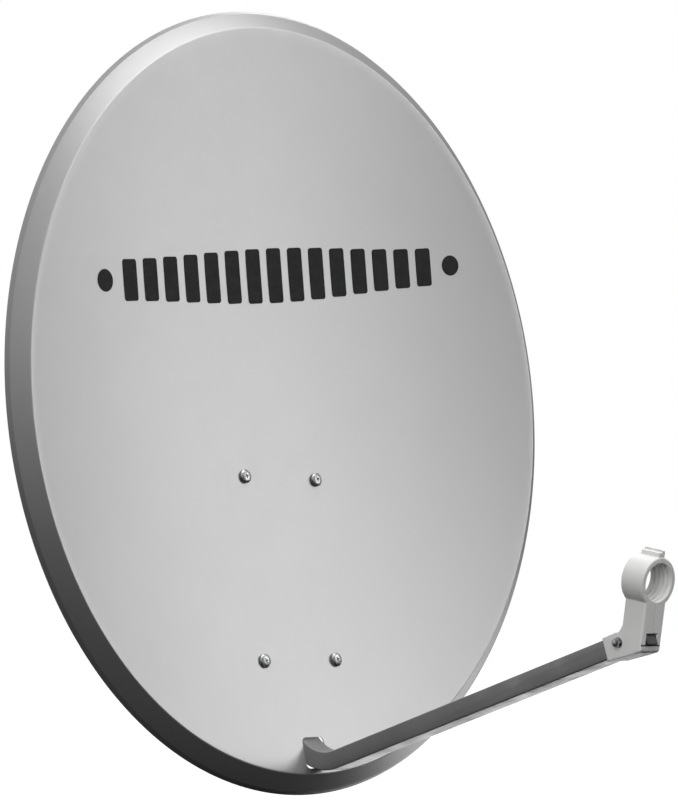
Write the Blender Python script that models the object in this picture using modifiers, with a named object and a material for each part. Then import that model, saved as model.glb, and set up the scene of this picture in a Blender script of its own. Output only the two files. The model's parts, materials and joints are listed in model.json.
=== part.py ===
"""Offset satellite dish with feed arm, feed holder, tilting rear bracket and mast clamp.

Metres, +Z up. The origin is on the mast's axis at the middle of the clamp. The reflector faces -Y,
X runs across it. The dish, its bracket and its arm hang from the empty tilt_axis on the pivot bolt.
"""
import math

import bmesh
import bpy
from mathutils import Matrix, Vector

# Reflector: an elliptical cut of a paraboloid with a rolled rim
DISH_HEIGHT = 0.860
DISH_RATIO = 0.900
DISH_DEPTH = 0.050
DISH_LEAN = math.radians(3.3)
SHEET = 0.0015
RIM_OUT = 0.0194
RIM_BACK = 0.0137
LIP_OUT = 0.0232
LIP_BACK = 0.0184
DISH_STEPS = 80
DISH_RINGS = 9
SLOT_WIDTH = 0.033
SLOT_TOP = -0.3885
SLOT_BOTTOM = -0.4235
SLOT_CORNER = 0.006

# Screws that hold the reflector to the rear bracket
SCREW_HALF_X = 0.055
SCREW_UPPER = -0.0905
SCREW_LOWER = -0.3015
SCREW_RADIUS = 0.003
SCREW_HEAD_RADIUS = 0.0080
SCREW_HEAD_UNDER = 0.0010
SCREW_HEAD_HEIGHT = 0.0030
SCREW_DOME = ((0.45, 0.0002), (0.80, 0.0009), (1.00, 0.0020))
SCREW_SPARE = 0.002
RECESS_HALF = (0.0036, 0.0006)
RECESS_DEPTH = 0.0018
SCREW_HOLE = 0.0033
SHEET_HOLE = 0.0037
SPACER_RADIUS = 0.0080
SPACER_FRONT = -0.0028
M6_WASHER_THICK = 0.0014
M6_WASHER_RADII = (0.0065, 0.0070)
M6_NUT_HEIGHT = 0.0052
M6_HEAD = 0.0040
M6_ACROSS = 0.0100

# Rear bracket, in its own frame: x across, y up along the plate, z towards the reflector
PLATE_FRONT = -0.0065
PLATE_THICK = 0.0025
PLATE_HALF_X = 0.068
PLATE_HALF_Y = 0.124
EAR_INNER = 0.0320
EAR_THICK = 0.0025
PIVOT_IN_BRACKET = (0.045, -0.070)
ARC_RADIUS = 0.058
ARC_SLOT_HALF = 0.0045
SCALE_RADII = (0.0340, 0.0470)
SCALE_THICK = 0.0008
TILT_DOWN = math.radians(20.0)
TILT_UP = math.radians(25.0)

# Mast side, in the world frame
PIVOT = Vector((0.0, -0.116, 0.030))
MAST_RADIUS = 0.025
CHEEK_OUTER = 0.0316
CHEEK_THICK = 0.0030
WEB_FRONT = -0.0480
WEB_THICK = 0.0030
WEB_HALF_X = 0.058
WEB_HALF_Z = 0.055
CHEEK_ROOT = 0.050
CHEEK_TOP = (-0.085, 0.048)
CHEEK_HEEL = (-0.090, -0.047)
EYE_RADII = (0.014, 0.012)
JAW_HALF_X = 0.056
JAW_HALF_Z = 0.030
FLANGE_THICK = 0.0030
FLANGE_HALF_X = 0.034
FLANGE_MARGIN = 0.008
SADDLE_INSET = 0.006
JAW_INSET = 0.004
TOOTH_DEPTH = 0.0014
CLAMP_BOLT_X = 0.044
BOLT_RADIUS = 0.0040
M8_ACROSS = 0.0130
M8_HEAD = 0.0053
M8_WASHER_THICK = 0.0016
M8_NUT_HEIGHT = 0.0065
M8_WASHER_RADII = (0.0090, 0.0120)
M8_SPARE = 0.004
LOCK_DOME = ((0.0090, 0.0), (0.0085, 0.0018), (0.0055, 0.0040), (0.0, 0.0046))
JAW_REACH = 0.0096
CLAMP_BOLT_SPARE = 0.026

# Feed arm: rectangular tube, one bend, in the side view of the dish (Y, Z from the dish centre)
ARM_WIDTH = 0.0285
ARM_HEIGHT = 0.0205
ARM_WALL = 0.0015
ARM_POINT = (-0.3824, -0.3099)
ARM_PITCH = math.radians(17.6)
ARM_TIP_Y = -0.5048
ARM_BEND_RADIUS = 0.064
ARM_TOP_V = -0.045
ARM_SCREW_V = (-0.062, -0.104)
CAP_THICK = 0.0018
CAP_STUB = 0.010
CAP_BOSS = 0.0046

# Feed holder
HOLDER_HALF_X = 0.0158
HOLDER_SPLIT = 0.0002
HOLDER_WALL = 0.0015
RING_CENTRE = (-0.5206, -0.2179)
RING_PITCH = math.radians(10.8)
RING_BORE = 0.0200
RING_OUTER = 0.0255
RING_LENGTH = 0.028
HOLDER_BOLT = (-0.4808, -0.2770)
HOLDER_BOLT_RADIUS = 0.0025
HOLDER_TOE = (-0.5083, -0.2866)
NECK_TOP = 0.0180
NECK_BACK = ((-0.4905, -0.2290), (-0.4855, -0.2590))
SLEEVE_REAR = 0.0440
SLEEVE_KNEE = 0.0215
LUG_HALF_X = 0.0042
LUG_HEIGHT_LEFT = 0.0060
LUG_HEIGHT_RIGHT = 0.0042
LUG_INSET = (0.0005, 0.0015)
WINDOW_HALF = (0.0088, 0.0054)
WINDOW_DROP = 0.0044
WINDOW_GAP = 0.0006
ROOM_LENGTH = 0.08
M5_WASHER_RADIUS = 0.0056
M5_HEAD = 0.0035
HOLDER_BOLT_END = 0.0180
M5_ACROSS = 0.0080
M5_WASHER_THICK = 0.0010
M5_NUT_HEIGHT = 0.0040

GAP = 0.0003
ROUND = 24
HALF_HEIGHT = DISH_HEIGHT / 2
HALF_WIDTH = HALF_HEIGHT * DISH_RATIO


# ---------------------------------------------------------------- scene, materials and small helpers

def clear_scene():
    """Remove every object that the file starts with."""
    for obj in list(bpy.data.objects):
        bpy.data.objects.remove(obj, do_unlink=True)


def new_collection(name):
    """Make a collection and link it to the scene."""
    group = bpy.data.collections.new(name)
    bpy.context.scene.collection.children.link(group)
    return group


def material(name, colour, roughness, metallic):
    """Make a Principled BSDF material."""
    mat = bpy.data.materials.new(name)
    mat.use_nodes = True
    shader = mat.node_tree.nodes["Principled BSDF"]
    shader.inputs["Base Color"].default_value = (*colour, 1.0)
    shader.inputs["Roughness"].default_value = roughness
    shader.inputs["Metallic"].default_value = metallic
    return mat


clear_scene()
PARTS = new_collection("satellite_dish")
CUTTERS = new_collection("cutters")
COAT = material("grey_coat", (0.52, 0.52, 0.53), 0.45, 0.0)
STEEL = material("zinc_steel", (0.62, 0.62, 0.63), 0.35, 1.0)
GALVANISED = material("galvanised_sheet", (0.50, 0.51, 0.52), 0.50, 1.0)
ARM_COAT = material("arm_coat", (0.24, 0.24, 0.245), 0.45, 0.0)
WHITE = material("white_plastic", (0.80, 0.80, 0.79), 0.40, 0.0)
BLACK = material("black_plastic", (0.02, 0.02, 0.02), 0.50, 0.0)
PRINT = material("scale_print", (0.85, 0.85, 0.82), 0.50, 0.0)


def empty(name, matrix, parent=None):
    """Make a frame that pieces are parented to; matrix is in the world."""
    frame = bpy.data.objects.new(name, None)
    PARTS.objects.link(frame)
    if parent:
        frame.parent = parent
        frame.matrix_basis = parent.matrix_world.inverted() @ matrix
    else:
        frame.matrix_basis = matrix
    bpy.context.view_layer.update()
    return frame


def finish(name, bm, mat, parent, place=None):
    """Turn a bmesh into an object under parent, place being its matrix there."""
    mesh = bpy.data.meshes.new(name)
    bm.to_mesh(mesh)
    bm.free()
    if mat:
        mesh.materials.append(mat)
    obj = bpy.data.objects.new(name, mesh)
    PARTS.objects.link(obj)
    obj.parent = parent
    if place is not None:
        obj.matrix_basis = place
    return obj


def box(name, low, high, mat, parent, place=None):
    """Make a box from its two corners."""
    low = Vector(low)
    high = Vector(high)
    bm = bmesh.new()
    size = high - low
    matrix = Matrix.Translation((low + high) / 2) @ Matrix.Diagonal((*size, 1.0))
    bmesh.ops.create_cube(bm, size=1.0, matrix=matrix)
    return finish(name, bm, mat, parent, place)


def along(axis, centre):
    """Matrix that lays a local Z axis along a given direction through a point."""
    turn = Vector(axis).to_track_quat("Z", "Y").to_matrix().to_4x4()
    return Matrix.Translation(centre) @ turn


def rod(name, radius, start, end, axis_matrix, mat, parent, sides=ROUND):
    """Make a cylinder from start to end along the local Z of axis_matrix."""
    bm = bmesh.new()
    middle = Matrix.Translation((0.0, 0.0, (start + end) / 2))
    bmesh.ops.create_cone(bm, cap_ends=True, segments=sides, radius1=radius, radius2=radius,
                          depth=end - start, matrix=middle)
    return finish(name, bm, mat, parent, axis_matrix)


def turned(name, profile, axis_matrix, mat, parent, sides=ROUND):
    """Turn a profile of (radius, height), listed down its outer side, about the local Z axis."""
    bm = bmesh.new()
    verts = [bm.verts.new((radius, 0.0, height)) for radius, height in profile]
    closed = min(radius for radius, height in profile) > 0.0
    ends = len(verts) if closed else len(verts) - 1
    for index in range(ends):
        bm.edges.new((verts[index], verts[(index + 1) % len(verts)]))
    obj = finish(name, bm, mat, parent, axis_matrix)
    screw = obj.modifiers.new("turn", "SCREW")
    screw.axis = "Z"
    screw.steps = sides
    screw.render_steps = sides
    screw.use_merge_vertices = True
    screw.merge_threshold = 0.00001
    screw.use_smooth_shade = True
    return obj


def evaluated_mesh(obj):
    """A new mesh of an object with its modifiers applied."""
    bpy.context.view_layer.update()
    return bpy.data.meshes.new_from_object(obj.evaluated_get(bpy.context.evaluated_depsgraph_get()))


def outline(name, points, low, high, plane, mat, parent):
    """Extrude a flat outline from low to high across its plane, which is "xy" or "yz"."""
    curve = bpy.data.curves.new(name, "CURVE")
    curve.dimensions = "2D"
    curve.fill_mode = "BOTH"
    curve.extrude = (high - low) / 2
    spline = curve.splines.new("POLY")
    spline.points.add(len(points) - 1)
    for point, (first, second) in zip(spline.points, points):
        point.co = (first, second, 0.0, 1.0)
    spline.use_cyclic_u = True
    guide = bpy.data.objects.new(name + "_outline", curve)
    PARTS.objects.link(guide)
    mesh = evaluated_mesh(guide)
    bpy.data.objects.remove(guide, do_unlink=True)
    bm = bmesh.new()
    bm.from_mesh(mesh)
    bpy.data.meshes.remove(mesh)
    bmesh.ops.remove_doubles(bm, verts=bm.verts, dist=0.00001)
    bmesh.ops.translate(bm, verts=bm.verts, vec=(0.0, 0.0, (low + high) / 2))
    if plane == "yz":
        for vert in bm.verts:
            vert.co = (vert.co.z, vert.co.x, vert.co.y)
    bmesh.ops.recalc_face_normals(bm, faces=bm.faces)
    if bm.calc_volume(signed=True) < 0.0:
        bmesh.ops.reverse_faces(bm, faces=bm.faces)
    return finish(name, bm, mat, parent)


def combine(target, tool, operation):
    """Apply one Boolean with a hidden tool."""
    tool.hide_render = True
    tool.display_type = "WIRE"
    PARTS.objects.unlink(tool)
    CUTTERS.objects.link(tool)
    modifier = target.modifiers.new(tool.name, "BOOLEAN")
    modifier.operation = operation
    modifier.object = tool
    modifier.solver = "EXACT"


def cut(target, tool):
    """Take tool out of target."""
    combine(target, tool, "DIFFERENCE")


def join(target, tool):
    """Add tool to target."""
    combine(target, tool, "UNION")


def arc(centre, radius, start, end, count):
    """Points on an arc; angles are radians from the first axis of its plane."""
    points = []
    for step in range(count + 1):
        angle = start + (end - start) * step / count
        points.append((centre[0] + radius * math.cos(angle), centre[1] + radius * math.sin(angle)))
    return points


def hexagon(name, across, start, end, axis_matrix, mat, parent):
    """Make a hexagonal prism, across being its width between flats."""
    return rod(name, across / 2 / math.cos(math.pi / 6), start, end, axis_matrix, mat, parent, 6)


def washer(name, bore, outer, start, end, axis_matrix, parent, mat=None):
    """Make a flat ring."""
    profile = [(outer, end), (outer, start), (bore, start), (bore, end)]
    return turned(name, profile, axis_matrix, mat or STEEL, parent)


def nut(name, bore, across, start, end, axis_matrix, parent):
    """Make a hexagon nut with a plain bore."""
    body = hexagon(name, across, start, end, axis_matrix, STEEL, parent)
    hole = rod(name + "_bore", bore, start - 0.001, end + 0.001, axis_matrix, None, parent)
    cut(body, hole)
    return body


def hex_bolt(name, radius, across, head_start, head_end, stem_end, axis_matrix, parent):
    """Make a hexagon head bolt whose stem runs from inside its head to stem_end."""
    body = hexagon(name, across, head_start, head_end, axis_matrix, STEEL, parent)
    overlap = 0.001
    if stem_end > head_end:
        stem = rod(name + "_stem", radius, head_end - overlap, stem_end, axis_matrix, None, parent)
    else:
        stem = rod(name + "_stem", radius, stem_end, head_start + overlap, axis_matrix, None, parent)
    join(body, stem)
    return body


# ---------------------------------------------------------------- frames

def surface(across, up):
    """Depth of the reflecting surface below the rim plane, as a negative height."""
    return -DISH_DEPTH * (1.0 - (across / HALF_WIDTH) ** 2 - (up / HALF_HEIGHT) ** 2)


def frame_matrix(lean, centre):
    """Matrix of a frame whose y leans back by lean from +Z and whose z faces forward."""
    return Matrix.Translation(centre) @ Matrix.Rotation(math.pi / 2 - lean, 4, "X")


UPPER_DEPTH = surface(SCREW_HALF_X, SCREW_UPPER)
LOWER_DEPTH = surface(SCREW_HALF_X, SCREW_LOWER)
PLATE_SLOPE = math.atan2(LOWER_DEPTH - UPPER_DEPTH, SCREW_UPPER - SCREW_LOWER)
BRACKET_LEAN = DISH_LEAN + PLATE_SLOPE
SCREW_HALF_Y = math.hypot(SCREW_UPPER - SCREW_LOWER, LOWER_DEPTH - UPPER_DEPTH) / 2


def bracket_in_dish():
    """Bracket's centre in the dish frame: midway between the four screw holes."""
    return Vector((0.0, (SCREW_UPPER + SCREW_LOWER) / 2, (UPPER_DEPTH + LOWER_DEPTH) / 2))


def make_frames():
    """Place the tilt axis, the bracket and the dish so that the pivot bolt goes through the ears."""
    tilt = empty("tilt_axis", Matrix.Translation(PIVOT))
    lean = frame_matrix(BRACKET_LEAN, (0.0, 0.0, 0.0))
    bracket_centre = PIVOT - lean @ Vector((0.0, *PIVOT_IN_BRACKET))
    bracket = empty("bracket_frame", frame_matrix(BRACKET_LEAN, bracket_centre), tilt)
    dish_turn = frame_matrix(DISH_LEAN, (0.0, 0.0, 0.0))
    dish_centre = bracket_centre - dish_turn @ bracket_in_dish()
    dish = empty("dish_frame", frame_matrix(DISH_LEAN, dish_centre), tilt)
    side = empty("side_frame", Matrix.Translation(dish_centre), tilt)
    return bracket, dish, side


BRACKET, DISH, SIDE = make_frames()


# ---------------------------------------------------------------- reflector and its screws

def screw_places():
    """Names and positions of the four reflector screws in the bracket frame."""
    places = []
    for level, y in (("upper", SCREW_HALF_Y), ("lower", -SCREW_HALF_Y)):
        for side, x in (("left", -SCREW_HALF_X), ("right", SCREW_HALF_X)):
            places.append((level + "_" + side, x, y))
    return places


def slot_outline():
    """Front view of the arm slot, a rectangle with round corners."""
    middle = (SLOT_TOP + SLOT_BOTTOM) / 2
    inset_x = SLOT_WIDTH / 2 - SLOT_CORNER
    inset_y = (SLOT_TOP - SLOT_BOTTOM) / 2 - SLOT_CORNER
    points = []
    for index, (sign_x, sign_y) in enumerate(((1, 1), (-1, 1), (-1, -1), (1, -1))):
        centre = (sign_x * inset_x, middle + sign_y * inset_y)
        start = index * math.pi / 2
        points += arc(centre, SLOT_CORNER, start, start + math.pi / 2, 4)
    return points


def reflector():
    """Parabolic sheet with a sloping rim and a lip, cut by the arm slot and four screw holes."""
    points = []
    for ring in range(DISH_RINGS + 1):
        radius = HALF_HEIGHT * ring / DISH_RINGS
        points.append((radius, surface(0.0, radius)))
    points.append((HALF_HEIGHT + RIM_OUT, -RIM_BACK))
    points.append((HALF_HEIGHT + LIP_OUT, -LIP_BACK))
    turn = turned("reflector", points, Matrix(), COAT, DISH, DISH_STEPS)
    mesh = evaluated_mesh(turn)
    mesh.transform(Matrix.Diagonal((DISH_RATIO, 1.0, 1.0, 1.0)))
    bm = bmesh.new()
    bm.from_mesh(mesh)
    bm.normal_update()
    if sum(face.normal.z for face in bm.faces) < 0.0:
        bmesh.ops.reverse_faces(bm, faces=bm.faces)
    bm.to_mesh(mesh)
    bm.free()
    turn.modifiers.clear()
    turn.data = mesh
    shell = turn.modifiers.new("sheet", "SOLIDIFY")
    shell.thickness = SHEET
    shell.offset = -1.0
    shell.use_even_offset = True
    cut(turn, outline("slot_cutter", slot_outline(), -0.05, 0.02, "xy", None, DISH))
    for name, x, y in screw_places():
        place = Matrix.Translation((x, y, 0.0))
        cut(turn, rod("hole_" + name, SHEET_HOLE, -0.02, 0.02, place, None, BRACKET))
    mesh.shade_smooth()
    return turn


def reflector_fixings():
    """Cross-recess screws with their spacers, washers and nuts."""
    plate_back = PLATE_FRONT - PLATE_THICK
    washer_start = plate_back - GAP
    washer_end = washer_start - M6_WASHER_THICK
    nut_start = washer_end - GAP
    nut_end = nut_start - M6_NUT_HEIGHT
    under = SCREW_HEAD_UNDER
    top = under + SCREW_HEAD_HEIGHT
    end = nut_end - SCREW_SPARE
    dome = [(SCREW_HEAD_RADIUS * share, top - drop) for share, drop in SCREW_DOME]
    profile = [(0.0, top)] + dome + [(SCREW_HEAD_RADIUS, under), (SCREW_RADIUS, under),
                                     (SCREW_RADIUS, end), (0.0, end)]
    for name, x, y in screw_places():
        place = Matrix.Translation((x, y, 0.0))
        screw = turned("reflector_screw_" + name, profile, place, STEEL, BRACKET)
        for half_x, half_y in (RECESS_HALF, RECESS_HALF[::-1]):
            low = (x - half_x, y - half_y, top - RECESS_DEPTH)
            high = (x + half_x, y + half_y, top + RECESS_DEPTH)
            cut(screw, box(screw.name + "_recess", low, high, None, BRACKET))
        spacer = "screw_spacer_" + name
        back = PLATE_FRONT + GAP
        washer(spacer, SCREW_HOLE, SPACER_RADIUS, back, SPACER_FRONT, place, BRACKET, BLACK)
        outer = M6_WASHER_RADII[0]
        washer("screw_washer_" + name, SCREW_HOLE, outer, washer_end, washer_start, place, BRACKET)
        nut("screw_nut_" + name, SCREW_HOLE, M6_ACROSS, nut_end, nut_start, place, BRACKET)


# ---------------------------------------------------------------- rear bracket

def to_angle(direction):
    """Angle in the bracket's side plane (y, z) of a direction measured from -y towards -z."""
    return math.pi + direction


def ear_outline():
    """Side view of an ear: a foot on the plate, a boss at the pivot and a fan for the arc slot."""
    root = PLATE_FRONT - PLATE_THICK / 2
    boss = arc(PIVOT_IN_BRACKET, 0.018, to_angle(math.radians(190)), to_angle(math.radians(115)), 6)
    start = BRACKET_LEAN + TILT_UP + math.radians(14.0)
    end = BRACKET_LEAN - TILT_DOWN - math.radians(14.0)
    fan = arc(PIVOT_IN_BRACKET, ARC_RADIUS + 0.012, to_angle(start), to_angle(end), 12)
    return [(0.088, root)] + boss + fan + [(-0.080, root)]


def arc_slot(name, low, high):
    """Cutter for the curved slot that the lock bolt runs in."""
    start = BRACKET_LEAN + TILT_UP
    end = BRACKET_LEAN - TILT_DOWN
    half = ARC_SLOT_HALF
    outer = arc(PIVOT_IN_BRACKET, ARC_RADIUS + half, to_angle(end), to_angle(start), 12)
    inner = arc(PIVOT_IN_BRACKET, ARC_RADIUS - half, to_angle(start), to_angle(end), 12)
    caps = []
    for direction, first in ((start, 0.0), (end, -math.pi)):
        angle = to_angle(direction)
        centre = (PIVOT_IN_BRACKET[0] + ARC_RADIUS * math.cos(angle),
                  PIVOT_IN_BRACKET[1] + ARC_RADIUS * math.sin(angle))
        caps.append(arc(centre, half, angle + first, angle + first + math.pi, 6)[1:-1])
    return outline(name, outer + caps[0] + inner + caps[1], low, high, "yz", None, BRACKET)


def dish_bracket():
    """Pressed plate behind the reflector with two ears that carry the pivot and the arc slots."""
    back = PLATE_FRONT - PLATE_THICK
    low = (-PLATE_HALF_X, -PLATE_HALF_Y, back)
    high = (PLATE_HALF_X, PLATE_HALF_Y, PLATE_FRONT)
    plate = box("dish_bracket", low, high, GALVANISED, BRACKET)
    for side in (-1, 1):
        inner = side * EAR_INNER
        outer = side * (EAR_INNER + EAR_THICK)
        span = sorted((inner, outer))
        join(plate, outline("ear_%+d" % side, ear_outline(), span[0], span[1], "yz", None, BRACKET))
        slot_span = (span[0] - 0.002, span[1] + 0.002)
        cut(plate, arc_slot("arc_slot_%+d" % side, slot_span[0], slot_span[1]))
    across = along((1.0, 0.0, 0.0), (0.0, *PIVOT_IN_BRACKET))
    cut(plate, rod("ear_pivot_hole", BOLT_RADIUS + 0.0003, -0.05, 0.05, across, None, BRACKET))
    for name, x, y in screw_places():
        place = Matrix.Translation((x, y, 0.0))
        cut(plate, rod("plate_" + name, SCREW_HOLE, back - 0.002, 0.0, place, None, BRACKET))
    for index, v in enumerate(ARM_SCREW_V):
        place = Matrix.Translation((0.0, v, 0.0))
        cut(plate, rod("plate_arm_%d" % index, SCREW_HOLE, back - 0.002, 0.0, place, None, BRACKET))
    return plate


def elevation_scale():
    """Thin curved plate on the left ear with the elevation marks."""
    start = BRACKET_LEAN + TILT_UP + math.radians(4.0)
    end = BRACKET_LEAN - TILT_DOWN - math.radians(4.0)
    outer = arc(PIVOT_IN_BRACKET, SCALE_RADII[1], to_angle(end), to_angle(start), 12)
    inner = arc(PIVOT_IN_BRACKET, SCALE_RADII[0], to_angle(start), to_angle(end), 12)
    face = -(EAR_INNER + EAR_THICK + GAP)
    return outline("elevation_scale", outer + inner, face - SCALE_THICK, face, "yz", PRINT, BRACKET)


# ---------------------------------------------------------------- feed arm

def side_point(matrix, y, z):
    """A point of a frame's side plane as (Y, Z) from the dish centre."""
    spot = SIDE.matrix_world.inverted() @ matrix @ Vector((0.0, y, z))
    return Vector((spot.y, spot.z))


def arm_line():
    """Ends, directions and bend of the arm's centre line in the side plane."""
    depth = PLATE_FRONT - PLATE_THICK - GAP - ARM_HEIGHT / 2
    top = side_point(BRACKET.matrix_world, ARM_TOP_V, depth)
    down = (side_point(BRACKET.matrix_world, ARM_TOP_V - 0.1, depth) - top).normalized()
    forward = Vector((-math.cos(ARM_PITCH), math.sin(ARM_PITCH)))
    tip = Vector(ARM_POINT) + forward * ((ARM_TIP_Y - ARM_POINT[0]) / forward.x)
    normal = Vector((forward.y, -forward.x))
    corner = top + down * ((tip - top).dot(normal) / down.dot(normal))
    return top, down, corner, forward, tip


def arm_band(half, extra):
    """Outline of a band of the given half height along the arm's centre line."""
    top, down, corner, forward, tip = arm_line()
    turn = down.angle(forward)
    tangent = ARM_BEND_RADIUS * math.tan(turn / 2)
    bisector = (forward - down).normalized()
    centre = corner + bisector * (ARM_BEND_RADIUS / math.cos(turn / 2))
    first = corner - down * tangent - centre
    last = corner + forward * tangent - centre
    start = math.atan2(first.y, first.x)
    sweep = (math.atan2(last.y, last.x) - start + math.pi) % (2 * math.pi) - math.pi
    sides = []
    for sign in (-1, 1):
        radius = ARM_BEND_RADIUS + sign * half
        bend = arc(centre, radius, start, start + sweep, 12)
        begin = top - down * extra + first.normalized() * sign * half
        finish_point = tip + forward * extra + last.normalized() * sign * half
        sides.append([tuple(begin)] + bend + [tuple(finish_point)])
    return sides[0] + sides[1][::-1]


def feed_arm():
    """Bent rectangular tube, open at both ends."""
    half_width = ARM_WIDTH / 2
    band = arm_band(ARM_HEIGHT / 2, 0.0)
    tube = outline("feed_arm", band, -half_width, half_width, "yz", ARM_COAT, SIDE)
    inner_width = half_width - ARM_WALL
    inner_band = arm_band(ARM_HEIGHT / 2 - ARM_WALL, 0.01)
    cut(tube, outline("arm_hollow", inner_band, -inner_width, inner_width, "yz", None, SIDE))
    for index, v in enumerate(ARM_SCREW_V):
        place = Matrix.Translation((0.0, v, 0.0))
        cut(tube, rod("arm_hole_%d" % index, SCREW_HOLE, -0.05, 0.0, place, None, BRACKET))
    across = along((1.0, 0.0, 0.0), (0.0, *HOLDER_BOLT))
    cut(tube, rod("arm_holder_hole", HOLDER_BOLT_RADIUS + 0.0004, -0.03, 0.03, across, None, SIDE))
    return tube


def arm_frame():
    """Matrix under the side frame with x across, y up across the arm and z forward along it."""
    tip = arm_line()[4]
    forward = Vector((0.0, -math.cos(ARM_PITCH), math.sin(ARM_PITCH)))
    upward = Vector((0.0, math.sin(ARM_PITCH), math.cos(ARM_PITCH)))
    turn = Matrix((upward.cross(forward), upward, forward)).transposed().to_4x4()
    return Matrix.Translation((0.0, tip.x, tip.y)) @ turn


def arm_end_cap():
    """Plug of the arm's tip: a stub in the tube, a cover plate and a boss in the holder's window."""
    half_x = ARM_WIDTH / 2
    half_y = ARM_HEIGHT / 2
    inner = ARM_WALL + GAP
    low = (-half_x, -half_y, GAP)
    cap = box("arm_end_cap", low, (half_x, half_y, CAP_THICK), BLACK, SIDE, arm_frame())
    low = (-half_x + inner, -half_y + inner, -CAP_STUB)
    high = (half_x - inner, half_y - inner, CAP_THICK / 2)
    join(cap, box("cap_stub", low, high, None, SIDE, arm_frame()))
    boss_x = WINDOW_HALF[0] - WINDOW_GAP
    low = (-boss_x, -half_y + WINDOW_GAP, CAP_THICK / 2)
    high = (boss_x, WINDOW_HALF[1] - WINDOW_DROP - WINDOW_GAP, CAP_BOSS)
    join(cap, box("cap_boss", low, high, None, SIDE, arm_frame()))
    return cap


def arm_fixings():
    """Two bolts with washers that hold the arm's foot to the plate."""
    back = PLATE_FRONT - PLATE_THICK - GAP - ARM_HEIGHT - GAP
    for name, v in zip(("upper", "lower"), ARM_SCREW_V):
        place = Matrix.Translation((0.0, v, 0.0))
        under = back - M6_WASHER_THICK
        washer("arm_washer_" + name, SCREW_HOLE, M6_WASHER_RADII[1], under, back, place, BRACKET)
        head = under - GAP
        end = PLATE_FRONT - GAP
        bolt = "arm_bolt_" + name
        hex_bolt(bolt, SCREW_RADIUS, M6_ACROSS, head - M6_HEAD, head, end, place, BRACKET)


# ---------------------------------------------------------------- feed holder

def holder_profile():
    """Side view of the neck and sleeve, as (Y, Z) from the dish centre."""
    frame = arm_frame()
    half = ARM_HEIGHT / 2 + GAP + HOLDER_WALL
    rear_high = frame @ Vector((0.0, half, -SLEEVE_REAR))
    rear_low = frame @ Vector((0.0, -half, -SLEEVE_REAR))
    knee = frame @ Vector((0.0, half, -SLEEVE_KNEE))
    front = [ring_frame() @ Vector((0.0, -reach, GAP)) for reach in (RING_OUTER, NECK_TOP)]
    points = [(corner.y, corner.z) for corner in (rear_high, rear_low, *front, knee)]
    return points[:2] + [HOLDER_TOE] + points[2:4] + [*NECK_BACK, points[4]]


def ring_frame():
    """Matrix under the side frame with z along the ring's axis, from its front face to the dish."""
    axis = Vector((0.0, math.cos(RING_PITCH), math.sin(RING_PITCH)))
    upward = Vector((0.0, -math.sin(RING_PITCH), math.cos(RING_PITCH)))
    turn = Matrix((upward.cross(axis), upward, axis)).transposed().to_4x4()
    return Matrix.Translation((0.0, *RING_CENTRE)) @ turn


def holder_half(name, side):
    """One half of the feed holder: half ring with a lug on top, half neck and half sleeve."""
    parent = HOLDER_SLIDE if side > 0 else SIDE
    overlap = -side * 0.002
    span = sorted((overlap, side * HOLDER_HALF_X))
    half = outline(name, holder_profile(), span[0], span[1], "yz", WHITE, parent)
    ring = rod(name + "_ring", RING_OUTER, 0.0, RING_LENGTH, ring_frame(), None, parent, 48)
    join(half, ring)
    lug_height = LUG_HEIGHT_LEFT if side < 0 else LUG_HEIGHT_RIGHT
    lug = sorted((overlap, side * LUG_HALF_X))
    low = (lug[0], (RING_BORE + RING_OUTER) / 2, LUG_INSET[0])
    high = (lug[1], RING_OUTER + lug_height, RING_LENGTH - LUG_INSET[1])
    join(half, box(name + "_lug", low, high, None, parent, ring_frame()))
    bore_end = 2 * RING_LENGTH
    cut(half, rod(name + "_bore", RING_BORE, -RING_LENGTH, bore_end, ring_frame(), None, parent, 48))
    room_x = ARM_WIDTH / 2 + GAP
    room_y = ARM_HEIGHT / 2 + GAP
    low = (-room_x, -room_y, -ROOM_LENGTH)
    high = (room_x, room_y, CAP_THICK + GAP)
    cut(half, box(name + "_room", low, high, None, parent, arm_frame()))
    low = (-WINDOW_HALF[0], -WINDOW_DROP - WINDOW_HALF[1], 0.0)
    high = (WINDOW_HALF[0], -WINDOW_DROP + WINDOW_HALF[1], 0.02)
    cut(half, box(name + "_window", low, high, None, parent, arm_frame()))
    across = along((1.0, 0.0, 0.0), (0.0, *HOLDER_BOLT))
    hole_radius = HOLDER_BOLT_RADIUS + 0.0004
    cut(half, rod(name + "_bolt_hole", hole_radius, -0.03, 0.03, across, None, parent))
    other = sorted((side * HOLDER_SPLIT, -side * 0.04))
    cut(half, box(name + "_parting", (other[0], -0.60, -0.35), (other[1], -0.40, -0.15), None, parent))
    return half


def holder_fixings():
    """Cross bolt through both halves and the arm, with washers and a nut."""
    across = along((1.0, 0.0, 0.0), (0.0, *HOLDER_BOLT))
    face = HOLDER_HALF_X + GAP
    outer = face + M5_WASHER_THICK
    bore = HOLDER_BOLT_RADIUS + GAP
    washer("holder_washer_left", bore, M5_WASHER_RADIUS, -outer, -face, across, SIDE)
    washer("holder_washer_right", bore, M5_WASHER_RADIUS, face, outer, across, HOLDER_SLIDE)
    head = -outer - GAP
    end = face + HOLDER_BOLT_END
    hex_bolt("holder_bolt", HOLDER_BOLT_RADIUS, M5_ACROSS, head - M5_HEAD, head, end, across, SIDE)
    nut_start = outer + GAP
    nut_end = nut_start + M5_NUT_HEIGHT
    nut("holder_nut", bore, M5_ACROSS, nut_start, nut_end, across, HOLDER_SLIDE)


# ---------------------------------------------------------------- mast side

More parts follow.
